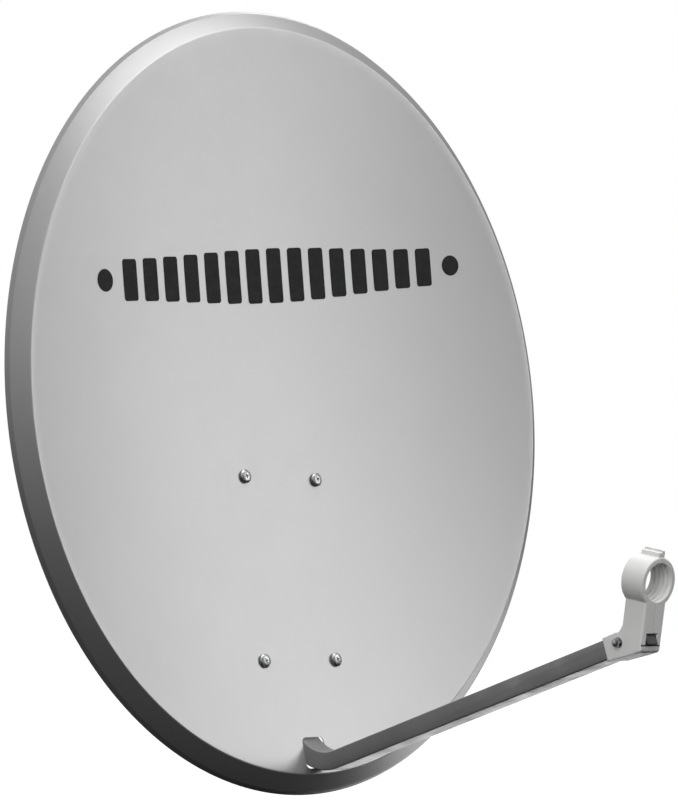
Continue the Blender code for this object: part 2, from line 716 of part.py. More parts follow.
def toothed_vee(side, vertex):
    """V edge of a saddle flange with small teeth; side is +1 where the mast lies towards +Y."""
    points = []
    teeth = 7
    for arm in (-1, 1):
        run = []
        for step in range(2 * teeth + 1):
            share = step / (2 * teeth)
            x = FLANGE_HALF_X * share
            y = vertex + side * x
            bite = TOOTH_DEPTH * (step % 2) * math.sqrt(0.5)
            run.append((x - bite, y + side * bite))
        run = [(arm * x, y) for x, y in run]
        points += run[::-1] if arm < 0 else run[1:]
    return points


def saddle_flange(name, side, vertex, back, level, parent):
    """Horizontal flange with a toothed V, from its back edge to the mast."""
    edge = FLANGE_HALF_X + FLANGE_MARGIN
    tip = vertex + side * FLANGE_HALF_X
    points = toothed_vee(side, vertex) + [(edge, tip), (edge, back), (-edge, back), (-edge, tip)]
    low = level - FLANGE_THICK / 2
    return outline(name, points, low, low + FLANGE_THICK, "xy", None, parent)


def cheek_outline():
    """Side view of a mast bracket cheek: root on the web, eyes at the pivot and the lock bolt."""
    root = WEB_FRONT + WEB_THICK / 2
    pivot = (PIVOT.y, PIVOT.z)
    lock = (PIVOT.y, PIVOT.z - ARC_RADIUS)
    upper = arc(pivot, EYE_RADII[0], math.radians(90), math.radians(180), 6)
    lower = arc(lock, EYE_RADII[1], math.radians(180), math.radians(270), 6)
    return [(root, CHEEK_ROOT), CHEEK_TOP] + upper + lower + [CHEEK_HEEL, (root, -CHEEK_ROOT)]


def vee_vertex():
    """Distance from the mast's axis to the corner of a 90 degree V that it rests in."""
    return MAST_RADIUS * math.sqrt(2.0)


def mast_bracket():
    """Welded bracket: web, two cheeks towards the dish and two toothed flanges at the mast."""
    back = WEB_FRONT + WEB_THICK
    low = (-WEB_HALF_X, WEB_FRONT, -WEB_HALF_Z)
    high = (WEB_HALF_X, back, WEB_HALF_Z)
    web = box("mast_bracket", low, high, GALVANISED, None)
    for side in (-1, 1):
        span = sorted((side * (CHEEK_OUTER - CHEEK_THICK), side * CHEEK_OUTER))
        join(web, outline("cheek_%+d" % side, cheek_outline(), span[0], span[1], "yz", None, None))
        level = side * (WEB_HALF_Z - SADDLE_INSET)
        root = back - WEB_THICK / 2
        join(web, saddle_flange("saddle_%+d" % side, 1, -vee_vertex(), root, level, None))
        bolt = along((0.0, 1.0, 0.0), (side * CLAMP_BOLT_X, 0.0, 0.0))
        cut(web, rod("web_hole_%+d" % side, BOLT_RADIUS + 0.0004, -0.06, -0.03, bolt, None, None))
    for name, z in (("pivot", PIVOT.z), ("lock", PIVOT.z - ARC_RADIUS)):
        across = along((1.0, 0.0, 0.0), (0.0, PIVOT.y, z))
        cut(web, rod("cheek_%s_hole" % name, BOLT_RADIUS + 0.0003, -0.05, 0.05, across, None, None))
    return web


def clamp_jaw():
    """Counter jaw behind the mast: web with two toothed flanges."""
    front = vee_vertex() + JAW_REACH
    low = (-JAW_HALF_X, front, -JAW_HALF_Z)
    high = (JAW_HALF_X, front + WEB_THICK, JAW_HALF_Z)
    jaw = box("clamp_jaw", low, high, GALVANISED, JAW_SLIDE)
    for side in (-1, 1):
        level = side * (JAW_HALF_Z - JAW_INSET)
        root = front + WEB_THICK / 2
        flange = "jaw_flange_%+d" % side
        join(jaw, saddle_flange(flange, -1, vee_vertex(), root, level, JAW_SLIDE))
        bolt = along((0.0, 1.0, 0.0), (side * CLAMP_BOLT_X, 0.0, 0.0))
        cut(jaw, rod("jaw_hole_%+d" % side, BOLT_RADIUS + 0.0004, 0.03, 0.06, bolt, None, JAW_SLIDE))
    return jaw


def clamp_fixings():
    """Two long bolts through the web and the jaw, with washers and nuts behind the jaw."""
    jaw_back = vee_vertex() + JAW_REACH + WEB_THICK
    bore = BOLT_RADIUS + GAP
    head = WEB_FRONT - GAP
    bolt_end = jaw_back + CLAMP_BOLT_SPARE
    washer_start = jaw_back + GAP
    washer_end = washer_start + M8_WASHER_THICK
    nut_start = washer_end + GAP
    nut_end = nut_start + M8_NUT_HEIGHT
    for name, side in (("left", -1), ("right", 1)):
        bolt = along((0.0, 1.0, 0.0), (side * CLAMP_BOLT_X, 0.0, 0.0))
        label = "clamp_bolt_" + name
        hex_bolt(label, BOLT_RADIUS, M8_ACROSS, head - M8_HEAD, head, bolt_end, bolt, None)
        outer = M8_WASHER_RADII[0]
        washer("clamp_washer_" + name, bore, outer, washer_start, washer_end, bolt, JAW_SLIDE)
        nut("clamp_nut_" + name, bore, M8_ACROSS, nut_start, nut_end, bolt, JAW_SLIDE)


def tilt_fixings():
    """Pivot bolt across both ears and a short lock bolt on each side, with washers and nuts."""
    ear_face = EAR_INNER + EAR_THICK + GAP
    washer_end = ear_face + M8_WASHER_THICK
    nut_start = washer_end + GAP
    nut_end = nut_start + M8_NUT_HEIGHT
    bore = BOLT_RADIUS + GAP
    end = nut_end + M8_SPARE
    pivot = along((1.0, 0.0, 0.0), PIVOT)
    head = -nut_start - M8_HEAD
    hex_bolt("pivot_bolt", BOLT_RADIUS, M8_ACROSS, head, -nut_start, end, pivot, None)
    washer("pivot_washer_left", bore, M8_WASHER_RADII[1], -washer_end, -ear_face, pivot, None)
    washer("pivot_washer_right", bore, M8_WASHER_RADII[1], ear_face, washer_end, pivot, None)
    nut("pivot_nut", bore, M8_ACROSS, nut_start, nut_end, pivot, None)
    head_outer = CHEEK_OUTER - CHEEK_THICK - GAP
    for name, side in (("left", -1), ("right", 1)):
        lock = along((side, 0.0, 0.0), (0.0, PIVOT.y, PIVOT.z - ARC_RADIUS))
        dome = [(radius, head_outer - drop) for radius, drop in LOCK_DOME]
        profile = [(0.0, end), (BOLT_RADIUS, end), (BOLT_RADIUS, head_outer)] + dome
        turned("lock_bolt_" + name, profile, lock, STEEL, None)
        washer("lock_washer_" + name, bore, M8_WASHER_RADII[0], ear_face, washer_end, lock, None)
        nut("lock_nut_" + name, bore, M8_ACROSS, nut_start, nut_end, lock, None)


# ---------------------------------------------------------------- build

HOLDER_SLIDE = empty("holder_slide", SIDE.matrix_world.copy(), SIDE)
JAW_SLIDE = empty("jaw_slide", Matrix())

reflector()
reflector_fixings()
dish_bracket()
elevation_scale()
feed_arm()
arm_end_cap()
arm_fixings()
holder_half("feed_holder_left", -1)
holder_half("feed_holder_right", 1)
holder_fixings()
mast_bracket()
tilt_fixings()
clamp_jaw()
clamp_fixings()
bpy.context.view_layer.update()
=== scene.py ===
"""Looks of the satellite dish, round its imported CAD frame. Metres, +Z up, the dish faces -Y."""
import json
import math

import bmesh
import bpy
from mathutils import Matrix, Vector

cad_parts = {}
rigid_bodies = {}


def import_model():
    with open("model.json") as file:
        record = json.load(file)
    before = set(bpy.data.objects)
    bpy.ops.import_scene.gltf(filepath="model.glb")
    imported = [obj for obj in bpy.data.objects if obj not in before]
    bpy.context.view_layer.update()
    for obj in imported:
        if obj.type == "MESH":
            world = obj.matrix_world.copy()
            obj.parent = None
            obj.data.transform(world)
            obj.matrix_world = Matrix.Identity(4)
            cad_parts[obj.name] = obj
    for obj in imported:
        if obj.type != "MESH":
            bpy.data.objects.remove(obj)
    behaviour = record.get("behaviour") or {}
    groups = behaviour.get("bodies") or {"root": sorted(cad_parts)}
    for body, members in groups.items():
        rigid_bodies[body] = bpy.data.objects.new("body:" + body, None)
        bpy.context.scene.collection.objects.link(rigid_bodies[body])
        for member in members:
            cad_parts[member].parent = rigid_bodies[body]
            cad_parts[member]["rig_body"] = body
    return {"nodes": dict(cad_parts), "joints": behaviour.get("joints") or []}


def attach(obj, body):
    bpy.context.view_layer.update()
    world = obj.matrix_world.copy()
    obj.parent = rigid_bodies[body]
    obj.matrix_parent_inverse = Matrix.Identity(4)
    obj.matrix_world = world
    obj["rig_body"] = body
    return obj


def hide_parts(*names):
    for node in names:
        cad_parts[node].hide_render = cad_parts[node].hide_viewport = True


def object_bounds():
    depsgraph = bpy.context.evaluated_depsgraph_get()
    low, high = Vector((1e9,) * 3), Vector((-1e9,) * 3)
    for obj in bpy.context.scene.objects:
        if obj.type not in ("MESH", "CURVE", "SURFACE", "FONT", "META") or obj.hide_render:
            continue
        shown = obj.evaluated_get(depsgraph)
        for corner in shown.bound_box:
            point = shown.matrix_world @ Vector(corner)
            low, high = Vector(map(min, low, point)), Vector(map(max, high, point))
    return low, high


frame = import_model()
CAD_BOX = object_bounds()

# Driving dimensions, the same as the CAD model's
DISH_HEIGHT = 0.860
DISH_RATIO = 0.900
DISH_DEPTH = 0.050
DISH_LEAN = math.radians(3.3)
SHEET = 0.0015
RIM_OUT = 0.0194
RIM_BACK = 0.0137
LIP_OUT = 0.0232
LIP_BACK = 0.0184
SLOT_WIDTH = 0.033
SLOT_TOP = -0.3885
SLOT_BOTTOM = -0.4235
SLOT_CORNER = 0.006
SCREW_HALF_X = 0.055
SCREW_UPPER = -0.0905
SCREW_LOWER = -0.3015
PLATE_FRONT = -0.0065
PLATE_THICK = 0.0025
PIVOT_IN_BRACKET = (0.045, -0.070)
ARC_RADIUS = 0.058
ARM_WIDTH = 0.0285
ARM_HEIGHT = 0.0205
ARM_WALL = 0.0015
ARM_POINT = (-0.3824, -0.3099)
ARM_PITCH = math.radians(17.6)
ARM_TIP_Y = -0.5048
ARM_BEND_RADIUS = 0.064
ARM_TOP_V = -0.045
ARM_SCREW_V = (-0.062, -0.104)
HOLDER_HALF_X = 0.0158
HOLDER_WALL = 0.0015
RING_CENTRE = (-0.5206, -0.2179)
RING_PITCH = math.radians(10.8)
RING_BORE = 0.0200
RING_OUTER = 0.0255
RING_LENGTH = 0.028
HOLDER_BOLT = (-0.4808, -0.2770)
NECK_BACK = ((-0.4905, -0.2290), (-0.4855, -0.2590))
SLEEVE_REAR = 0.0440
SLEEVE_KNEE = 0.0215
GAP = 0.0003
SCREW_HOLE = 0.0037
M6_HOLE = 0.0033
M5_HOLE = 0.0029
HALF_HEIGHT = DISH_HEIGHT / 2
HALF_WIDTH = HALF_HEIGHT * DISH_RATIO
NEARLY_ZERO = 1e-6

# Camera
VIEW_ANGLE = math.radians(43.23)
VIEW_RISE = math.radians(-4.70)
VIEW_DISTANCE = 2.9
VIEW_SIDE = 0.0393
VIEW_UP = -0.0047
LENS = 113.61
SENSOR_WIDTH = 36.0


# ---------------- materials

def set_sockets(node, **values):
    """Set input sockets by name, with underscores for the spaces."""
    for name, value in values.items():
        node.inputs[name.replace("_", " ")].default_value = value


class Shader:
    """A Principled material and the few node chains that the finishes are made of."""

    def __init__(self, name, colour, roughness, metallic=0.0):
        self.material = bpy.data.materials.new(name)
        self.material.use_nodes = True
        self.nodes = self.material.node_tree.nodes
        self.links = self.material.node_tree.links
        self.surface = self.nodes["Principled BSDF"]
        set_sockets(self.surface, Base_Color=(*colour, 1.0), Roughness=roughness,
                    Metallic=metallic)
        self.colour = colour
        self.roughness = roughness
        self.place = self.nodes.new("ShaderNodeTexCoord").outputs["Object"]
        self.normal = None

    def noise(self, scale, detail=3.0, stretch=None):
        """A noise value in object space, stretch being a scale for each axis."""
        place = self.place
        if stretch:
            mapping = self.nodes.new("ShaderNodeMapping")
            set_sockets(mapping, Scale=stretch)
            self.links.new(place, mapping.inputs["Vector"])
            place = mapping.outputs["Vector"]
        node = self.nodes.new("ShaderNodeTexNoise")
        set_sockets(node, Scale=scale, Detail=detail)
        self.links.new(place, node.inputs["Vector"])
        return node.outputs["Fac"]

    def cells(self, scale):
        """A random value for each cell of a Voronoi pattern."""
        node = self.nodes.new("ShaderNodeTexVoronoi")
        set_sockets(node, Scale=scale)
        self.links.new(self.place, node.inputs["Vector"])
        split = self.nodes.new("ShaderNodeSeparateColor")
        self.links.new(node.outputs["Color"], split.inputs["Color"])
        return split.outputs["Red"]

    def spread(self, value, low, high):
        """Map a value from its usual middle range to low..high."""
        node = self.nodes.new("ShaderNodeMapRange")
        set_sockets(node, From_Min=0.3, From_Max=0.7, To_Min=low, To_Max=high)
        self.links.new(value, node.inputs["Value"])
        return node.outputs["Result"]

    def vary_colour(self, value, share):
        """Lighten and darken the colour by a share either way."""
        node = self.nodes.new("ShaderNodeMix")
        node.data_type = "RGBA"
        dark = [part * (1 - share) for part in self.colour]
        light = [min(1.0, part * (1 + share)) for part in self.colour]
        node.inputs["A"].default_value = (*dark, 1.0)
        node.inputs["B"].default_value = (*light, 1.0)
        self.links.new(self.spread(value, 0.0, 1.0), node.inputs["Factor"])
        self.links.new(node.outputs["Result"], self.surface.inputs["Base Color"])

    def vary_roughness(self, value, amount):
        """Let the roughness wander by an amount either way."""
        result = self.spread(value, self.roughness - amount, self.roughness + amount)
        self.links.new(result, self.surface.inputs["Roughness"])

    def bump(self, value, distance, strength):
        """Add a bump of the given height, on top of any before it."""
        node = self.nodes.new("ShaderNodeBump")
        set_sockets(node, Strength=strength, Distance=distance)
        self.links.new(value, node.inputs["Height"])
        if self.normal:
            self.links.new(self.normal, node.inputs["Normal"])
        self.normal = node.outputs["Normal"]
        self.links.new(self.normal, self.surface.inputs["Normal"])


def powder_coat(name, colour, roughness, metallic):
    """Sprayed and baked coat: fine orange peel, a faint cloudiness and small specks."""
    shader = Shader(name, colour, roughness, metallic)
    shader.vary_colour(shader.noise(9.0, 4.0), 0.012)
    shader.vary_roughness(shader.noise(60.0), 0.008)
    shader.bump(shader.noise(700.0, 2.0), 0.00003, 0.6)
    shader.bump(shader.noise(2600.0, 1.0), 0.00001, 0.5)
    return shader.material


def coated_arm():
    """Grey coated steel tube: drawn along its length, with soft wear."""
    shader = Shader("arm_coat", (0.30, 0.30, 0.305), 0.36, 0.55)
    shader.vary_colour(shader.noise(14.0, 5.0, (3.0, 1.0, 1.0)), 0.10)
    shader.vary_roughness(shader.noise(40.0), 0.07)
    shader.bump(shader.noise(260.0, 3.0, (6.0, 1.0, 1.0)), 0.00003, 0.5)
    return shader.material


def zinc_plate():
    """Bright zinc: slightly cloudy, with fine tool marks."""
    shader = Shader("zinc_plate", (0.54, 0.545, 0.55), 0.28, 1.0)
    shader.vary_colour(shader.noise(180.0, 4.0), 0.10)
    shader.vary_roughness(shader.noise(420.0), 0.08)
    shader.bump(shader.noise(900.0, 3.0, (1.0, 5.0, 1.0)), 0.00002, 0.5)
    return shader.material


def galvanised_sheet():
    """Hot dip zinc on steel sheet with its spangle."""
    shader = Shader("galvanised_sheet", (0.58, 0.59, 0.60), 0.46, 1.0)
    spangle = shader.cells(190.0)
    shader.vary_colour(spangle, 0.07)
    shader.vary_roughness(spangle, 0.04)
    shader.bump(shader.noise(320.0, 4.0), 0.00002, 0.4)
    return shader.material


def moulded_plastic(name, colour, roughness, grain):
    """Injection moulded plastic with a fine spark-eroded grain."""
    shader = Shader(name, colour, roughness)
    shader.vary_colour(shader.noise(35.0, 3.0), 0.02)
    shader.vary_roughness(shader.noise(150.0), 0.05)
    shader.bump(shader.noise(1800.0, 2.0), grain, 0.7)
    return shader.material


def white_plastic():
    """White moulding with a little light in its thin walls."""
    mat = moulded_plastic("white_plastic", (0.80, 0.80, 0.79), 0.38, 0.00002)
    set_sockets(mat.node_tree.nodes["Principled BSDF"], Subsurface_Weight=0.15,
                Subsurface_Radius=(0.003, 0.003, 0.003))
    return mat


def printed_ink():
    """Screen printed dark ink, a little glossier where it lies thick."""
    shader = Shader("printed_ink", (0.016, 0.016, 0.017), 0.62)
    set_sockets(shader.surface, Specular_IOR_Level=0.25)
    shader.vary_colour(shader.noise(90.0, 4.0), 0.20)
    shader.vary_roughness(shader.noise(300.0), 0.06)
    shader.bump(shader.noise(1500.0, 2.0), 0.00001, 0.5)
    return shader.material


def floor_paint():
    """Pale studio floor with a very faint grain."""
    shader = Shader("studio_floor", (0.90, 0.90, 0.90), 0.9)
    shader.vary_colour(shader.noise(3.0), 0.004)
    set_sockets(shader.surface, Emission_Color=(1.0, 1.0, 1.0, 1.0), Emission_Strength=0.8)
    return shader.material


COAT = powder_coat("reflector_coat", (0.60, 0.60, 0.605), 0.43, 0.87)
BACK_STEEL = galvanised_sheet()
ARM = coated_arm()
ZINC = zinc_plate()
WHITE = white_plastic()
BLACK = moulded_plastic("black_plastic", (0.016, 0.016, 0.016), 0.45, 0.00003)
RUBBER = moulded_plastic("black_rubber", (0.014, 0.014, 0.014), 0.75, 0.00004)
PLATE = moulded_plastic("scale_plate", (0.72, 0.72, 0.68), 0.45, 0.00001)
INK = printed_ink()


# ---------------- small helpers

def body_of(node):
    """Name of the CAD body that a node belongs to."""
    return frame["nodes"][node]["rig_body"]


def add_object(name, data):
    """A new object, linked to the scene."""
    obj = bpy.data.objects.new(name, data)
    bpy.context.scene.collection.objects.link(obj)
    return obj


def mesh_object(name, bm, mat, matrix=None):
    """Turn a bmesh into an object of the scene."""
    mesh = bpy.data.meshes.new(name)
    if matrix is not None:
        bm.transform(matrix)
    bm.to_mesh(mesh)
    bm.free()
    if mat:
        mesh.materials.append(mat)
    return add_object(name, mesh)


def evaluated_mesh(obj):
    """A new mesh of an object as it looks with its modifiers, or of a text as a mesh."""
    bpy.context.view_layer.update()
    seen = obj.evaluated_get(bpy.context.evaluated_depsgraph_get())
    return bpy.data.meshes.new_from_object(seen)


def settle(obj):
    """Apply an object's modifiers to its mesh."""
    mesh = evaluated_mesh(obj)
    obj.modifiers.clear()
    obj.data = mesh
    return obj


def smooth(obj, angle=35.0):
    """Shade smooth, with sharp edges above an angle in degrees."""
    obj.data.shade_smooth()
    obj.data.set_sharp_from_angle(angle=math.radians(angle))
    return obj


def boolean(target, tool, operation):
    """Apply one Boolean and remove its tool."""
    modifier = target.modifiers.new("cut", "BOOLEAN")
    modifier.operation = operation
    modifier.object = tool
    modifier.solver = "EXACT"
    settle(target)
    bpy.data.objects.remove(tool, do_unlink=True)
    return target


BEVEL_ANGLE = math.radians(30.0)


def bevel(obj, width, segments=3):
    """Round the edges of a piece that turn by more than the bevel angle."""
    modifier = obj.modifiers.new("round", "BEVEL")
    modifier.width = width
    modifier.segments = segments
    modifier.limit_method = "ANGLE"
    modifier.angle_limit = BEVEL_ANGLE
    return settle(obj)


def place_piece(obj, body, nodes):
    """Ride on a body and stand for CAD nodes."""
    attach(obj, body)
    if nodes:
        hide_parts(*nodes)


def along(axis, centre):
    """Matrix that lays a local Z axis along a direction through a point."""
    turn = Vector(axis).to_track_quat("Z", "Y").to_matrix().to_4x4()
    return Matrix.Translation(centre) @ turn


def arc(centre, radius, start, end, count):
    """Points on an arc, angles in radians from the first axis of its plane."""
    points = []
    for step in range(count + 1):
        angle = start + (end - start) * step / count
        points.append((centre[0] + radius * math.cos(angle),
                       centre[1] + radius * math.sin(angle)))
    return points


def fillet(before, corner, after, radius, count):
    """Points that round one corner of a polyline."""
    corner = Vector(corner)
    back = (Vector(before) - corner).normalized()
    ahead = (Vector(after) - corner).normalized()
    half = back.angle(ahead) / 2
    reach = radius / math.tan(half)
    start = corner + back * reach
    end = corner + ahead * reach
    centre = corner + (back + ahead).normalized() * (radius / math.sin(half))
    points = []
    for step in range(count + 1):
        share = step / count
        spoke = (start - centre).slerp(end - centre, share)
        points.append(tuple(centre + spoke.normalized() * radius))
    return points


def lathe(name, profile, matrix, mat, sides):
    """Turn a profile of (radius, height) about the local Z axis; zero radii close it."""
    bm = bmesh.new()
    rings = []
    for radius, height in profile:
        if radius < NEARLY_ZERO:
            rings.append([bm.verts.new((0.0, 0.0, height))])
            continue
        ring = []
        for step in range(sides):
            angle = 2 * math.pi * step / sides
            spot = (radius * math.cos(angle), radius * math.sin(angle), height)
            ring.append(bm.verts.new(spot))
        rings.append(ring)
    closed = profile[0][0] > NEARLY_ZERO
    pairs = list(zip(rings, rings[1:]))
    if closed:
        pairs.append((rings[-1], rings[0]))
    for first, second in pairs:
        for step in range(sides):
            after = (step + 1) % sides
            if len(first) == 1:
                bm.faces.new((first[0], second[step], second[after]))
            elif len(second) == 1:
                bm.faces.new((first[step], second[0], first[after]))
            else:
                bm.faces.new((first[step], second[step], second[after], first[after]))
    bmesh.ops.recalc_face_normals(bm, faces=bm.faces)
    return mesh_object(name, bm, mat, matrix)


def bridge(bm, rings):
    """Faces between neighbouring rings of as many points."""
    count = len(rings[0])
    for first, second in zip(rings, rings[1:]):
        for step in range(count):
            after = (step + 1) % count
            bm.faces.new((first[step], first[after], second[after], second[step]))


def prism(name, points, low, high, plane, mat, matrix=None):
    """Extrude an outline of the xy or yz plane from low to high across it."""
    def spot(point, level):
        return (*point, level) if plane == "xy" else (level, *point)

    bm = bmesh.new()
    bottom = bm.faces.new([bm.verts.new(spot(point, low)) for point in points])
    grown = bmesh.ops.extrude_face_region(bm, geom=[bottom])["geom"]
    shift = Vector(spot((0.0, 0.0), high - low))
    moved = [part for part in grown if isinstance(part, bmesh.types.BMVert)]
    bmesh.ops.translate(bm, vec=shift, verts=moved)
    bmesh.ops.recalc_face_normals(bm, faces=bm.faces)
    return mesh_object(name, bm, mat, matrix)


def block(name, low, high, mat, matrix=None):
    """A box between two corners."""
    bm = bmesh.new()
    size = Vector(high) - Vector(low)
    centre = (Vector(high) + Vector(low)) / 2
    spread = Matrix.Translation(centre) @ Matrix.Diagonal((*size, 1.0))
    bmesh.ops.create_cube(bm, size=1.0, matrix=spread)
    return mesh_object(name, bm, mat, matrix)


def drill(target, radius, low, high, matrix):
    """Cut a round hole along the local Z axis, between two heights."""
    profile = [(0.0, high), (radius, high), (radius, low), (0.0, low)]
    boolean(target, lathe("hole_tool", profile, matrix, None, 32), "DIFFERENCE")


WELD_DISTANCE = 0.00001
FLAT_ANGLE = math.radians(1.0)


def refined(node, mat, width):
    """A copy of a CAD node with its flat faces joined up and its edges rounded."""
    bm = bmesh.new()
    bm.from_mesh(frame["nodes"][node].data)
    bmesh.ops.remove_doubles(bm, verts=bm.verts, dist=WELD_DISTANCE)
    bmesh.ops.dissolve_limit(bm, angle_limit=FLAT_ANGLE, verts=bm.verts, edges=bm.edges)
    obj = mesh_object(node + "_fine", bm, mat)
    bevel(obj, width, 2)
    smooth(obj)
    place_piece(obj, body_of(node), [node])


# ---------------- frames of the parts

def surface(across, up):
    """Depth of the reflecting surface below the rim plane, as a negative height."""
    return -DISH_DEPTH * (1.0 - (across / HALF_WIDTH) ** 2 - (up / HALF_HEIGHT) ** 2)


def frame_matrix(lean, centre=(0.0, 0.0, 0.0)):
    """Matrix of a frame whose y leans back by lean from +Z and whose z faces forward."""
    return Matrix.Translation(centre) @ Matrix.Rotation(math.pi / 2 - lean, 4, "X")


JOINTS = {joint["name"]: joint for joint in frame["joints"]}
PIVOT = Vector(JOINTS["elevation_tilt"]["pos_m"])
UPPER_DEPTH = surface(SCREW_HALF_X, SCREW_UPPER)
LOWER_DEPTH = surface(SCREW_HALF_X, SCREW_LOWER)
BRACKET_LEAN = DISH_LEAN + math.atan2(LOWER_DEPTH - UPPER_DEPTH, SCREW_UPPER - SCREW_LOWER)
SCREW_HALF_Y = math.hypot(SCREW_UPPER - SCREW_LOWER, LOWER_DEPTH - UPPER_DEPTH) / 2
BRACKET_CENTRE = PIVOT - frame_matrix(BRACKET_LEAN) @ Vector((0.0, *PIVOT_IN_BRACKET))
BRACKET_IN_DISH = Vector((0.0, (SCREW_UPPER + SCREW_LOWER) / 2, (UPPER_DEPTH + LOWER_DEPTH) / 2))
DISH_CENTRE = BRACKET_CENTRE - frame_matrix(DISH_LEAN) @ BRACKET_IN_DISH
BRACKET = frame_matrix(BRACKET_LEAN, BRACKET_CENTRE)
DISH = frame_matrix(DISH_LEAN, DISH_CENTRE)
SIDE = Matrix.Translation(DISH_CENTRE)
HOLDER_CROSS = SIDE @ along((1.0, 0.0, 0.0), (0.0, *HOLDER_BOLT))


# ---------------- reflector

DISH_SIDES = 288
DISH_RINGS = 44
FOLD_RADIUS = 0.0030
LIP_RADIUS = 0.0018
SLOT_CUT = (-0.05, 0.02)
HOLE_REACH = 0.02


def reflector_profile():
    """Radius and depth from the centre to the lip, with both folds rounded."""
    points = []
    for ring in range(1, DISH_RINGS + 1):
        radius = HALF_HEIGHT * ring / DISH_RINGS
        points.append((radius, surface(0.0, radius)))
    edge = (HALF_HEIGHT, 0.0)
    bend = (HALF_HEIGHT + RIM_OUT, -RIM_BACK)
    lip = (HALF_HEIGHT + LIP_OUT, -LIP_BACK)
    first = fillet(points[-2], edge, bend, FOLD_RADIUS, 6)
    second = fillet(edge, bend, lip, LIP_RADIUS, 5)
    return points[:-1] + first + second + [lip]


def reflector_sheet():
    """Fine elliptical sheet with its thickness, facing the local +Z."""
    bm = bmesh.new()
    centre = bm.verts.new((0.0, 0.0, surface(0.0, 0.0)))
    rings = []
    for radius, depth in reflector_profile():
        ring = []
        for step in range(DISH_SIDES):
            angle = 2 * math.pi * step / DISH_SIDES
            spot = (DISH_RATIO * radius * math.cos(angle), radius * math.sin(angle), depth)
            ring.append(bm.verts.new(spot))
        rings.append(ring)
    for step in range(DISH_SIDES):
        after = (step + 1) % DISH_SIDES
        bm.faces.new((centre, rings[0][step], rings[0][after]))
        for inner, outer in zip(rings, rings[1:]):
            bm.faces.new((inner[step], outer[step], outer[after], inner[after]))
    sheet = mesh_object("reflector_sheet", bm, COAT)
    shell = sheet.modifiers.new("sheet", "SOLIDIFY")
    shell.thickness = SHEET
    shell.offset = -1.0
    shell.use_even_offset = True
    return settle(sheet)


def slot_outline():
    """Front view of the arm slot, a rectangle with round corners."""
    middle = (SLOT_TOP + SLOT_BOTTOM) / 2
    inset_x = SLOT_WIDTH / 2 - SLOT_CORNER
    inset_y = (SLOT_TOP - SLOT_BOTTOM) / 2 - SLOT_CORNER
    points = []
    for index, (sign_x, sign_y) in enumerate(((1, 1), (-1, 1), (-1, -1), (1, -1))):
        centre = (sign_x * inset_x, middle + sign_y * inset_y)
        start = index * math.pi / 2
        points += arc(centre, SLOT_CORNER, start, start + math.pi / 2, 8)
    return points


def screw_places():
    """Names and positions of the four reflector screws in the bracket frame."""
    places = []
    for level, y in (("upper", SCREW_HALF_Y), ("lower", -SCREW_HALF_Y)):
        for side, x in (("left", -SCREW_HALF_X), ("right", SCREW_HALF_X)):
            places.append((level + "_" + side, x, y))
    return places


def make_reflector():
    """Reflector with its arm slot and screw holes."""
    sheet = reflector_sheet()
    slot = prism("slot_tool", slot_outline(), *SLOT_CUT, "xy", None)
    boolean(sheet, slot, "DIFFERENCE")
    local = DISH.inverted() @ BRACKET
    for _, x, y in screw_places():
        place = local @ Matrix.Translation((x, y, 0.0))
        drill(sheet, SCREW_HOLE, -HOLE_REACH, HOLE_REACH, place)
    sheet.data.transform(DISH)
    smooth(sheet, 40.0)
    place_piece(sheet, body_of("reflector"), ["reflector"])


MARK_TURN = math.radians(7.0)
MARK_RISE = 0.147
MARK_HEIGHT = 0.064
MARK_REACH = 0.246
MARK_RINGS = 6
MARK_CORE = 0.02
BAR_COUNT = 15
BAR_SHARE = 0.34
BAR_LOWEST = 0.72
BAR_CORNER = 0.0035
DISC_GAP = 0.024
DISC_RADIUS = 0.0125
INK_THICK = 0.00012


def mark_shape(name, outline):
    """A printed shape on the reflector, filled in rings so that it follows the bowl."""
    bm = bmesh.new()
    turn = Matrix.Rotation(MARK_TURN, 2)
    count = len(outline)
    core = Vector([sum(point[axis] for point in outline) / count for axis in (0, 1)])
    rings = []
    for ring in range(MARK_RINGS + 1):
        share = MARK_CORE + (1.0 - MARK_CORE) * (ring / MARK_RINGS)
        loop = []
        for point in outline:
            spot = turn @ core.lerp(Vector(point), share)
            spot.y += MARK_RISE
            loop.append(bm.verts.new((spot.x, spot.y, surface(spot.x, spot.y) + INK_THICK)))
        rings.append(loop)
    for inside, outside in zip(rings, rings[1:]):
        for step in range(count):
            after = (step + 1) % count
            bm.faces.new((inside[step], outside[step], outside[after], inside[after]))
    bm.faces.new(rings[0])
    piece = mesh_object(name, bm, INK, DISH)
    piece.data.shade_smooth()
    place_piece(piece, body_of("reflector"), [])


def rounded_bar(left, right, low, high, corner):
    """Outline of a bar with round corners, counter-clockwise."""
    points = []
    spots = ((right - corner, high - corner), (left + corner, high - corner),
             (left + corner, low + corner), (right - corner, low + corner))
    for index, centre in enumerate(spots):
        start = index * math.pi / 2
        points += arc(centre, corner, start, start + math.pi / 2, 6)
    return points


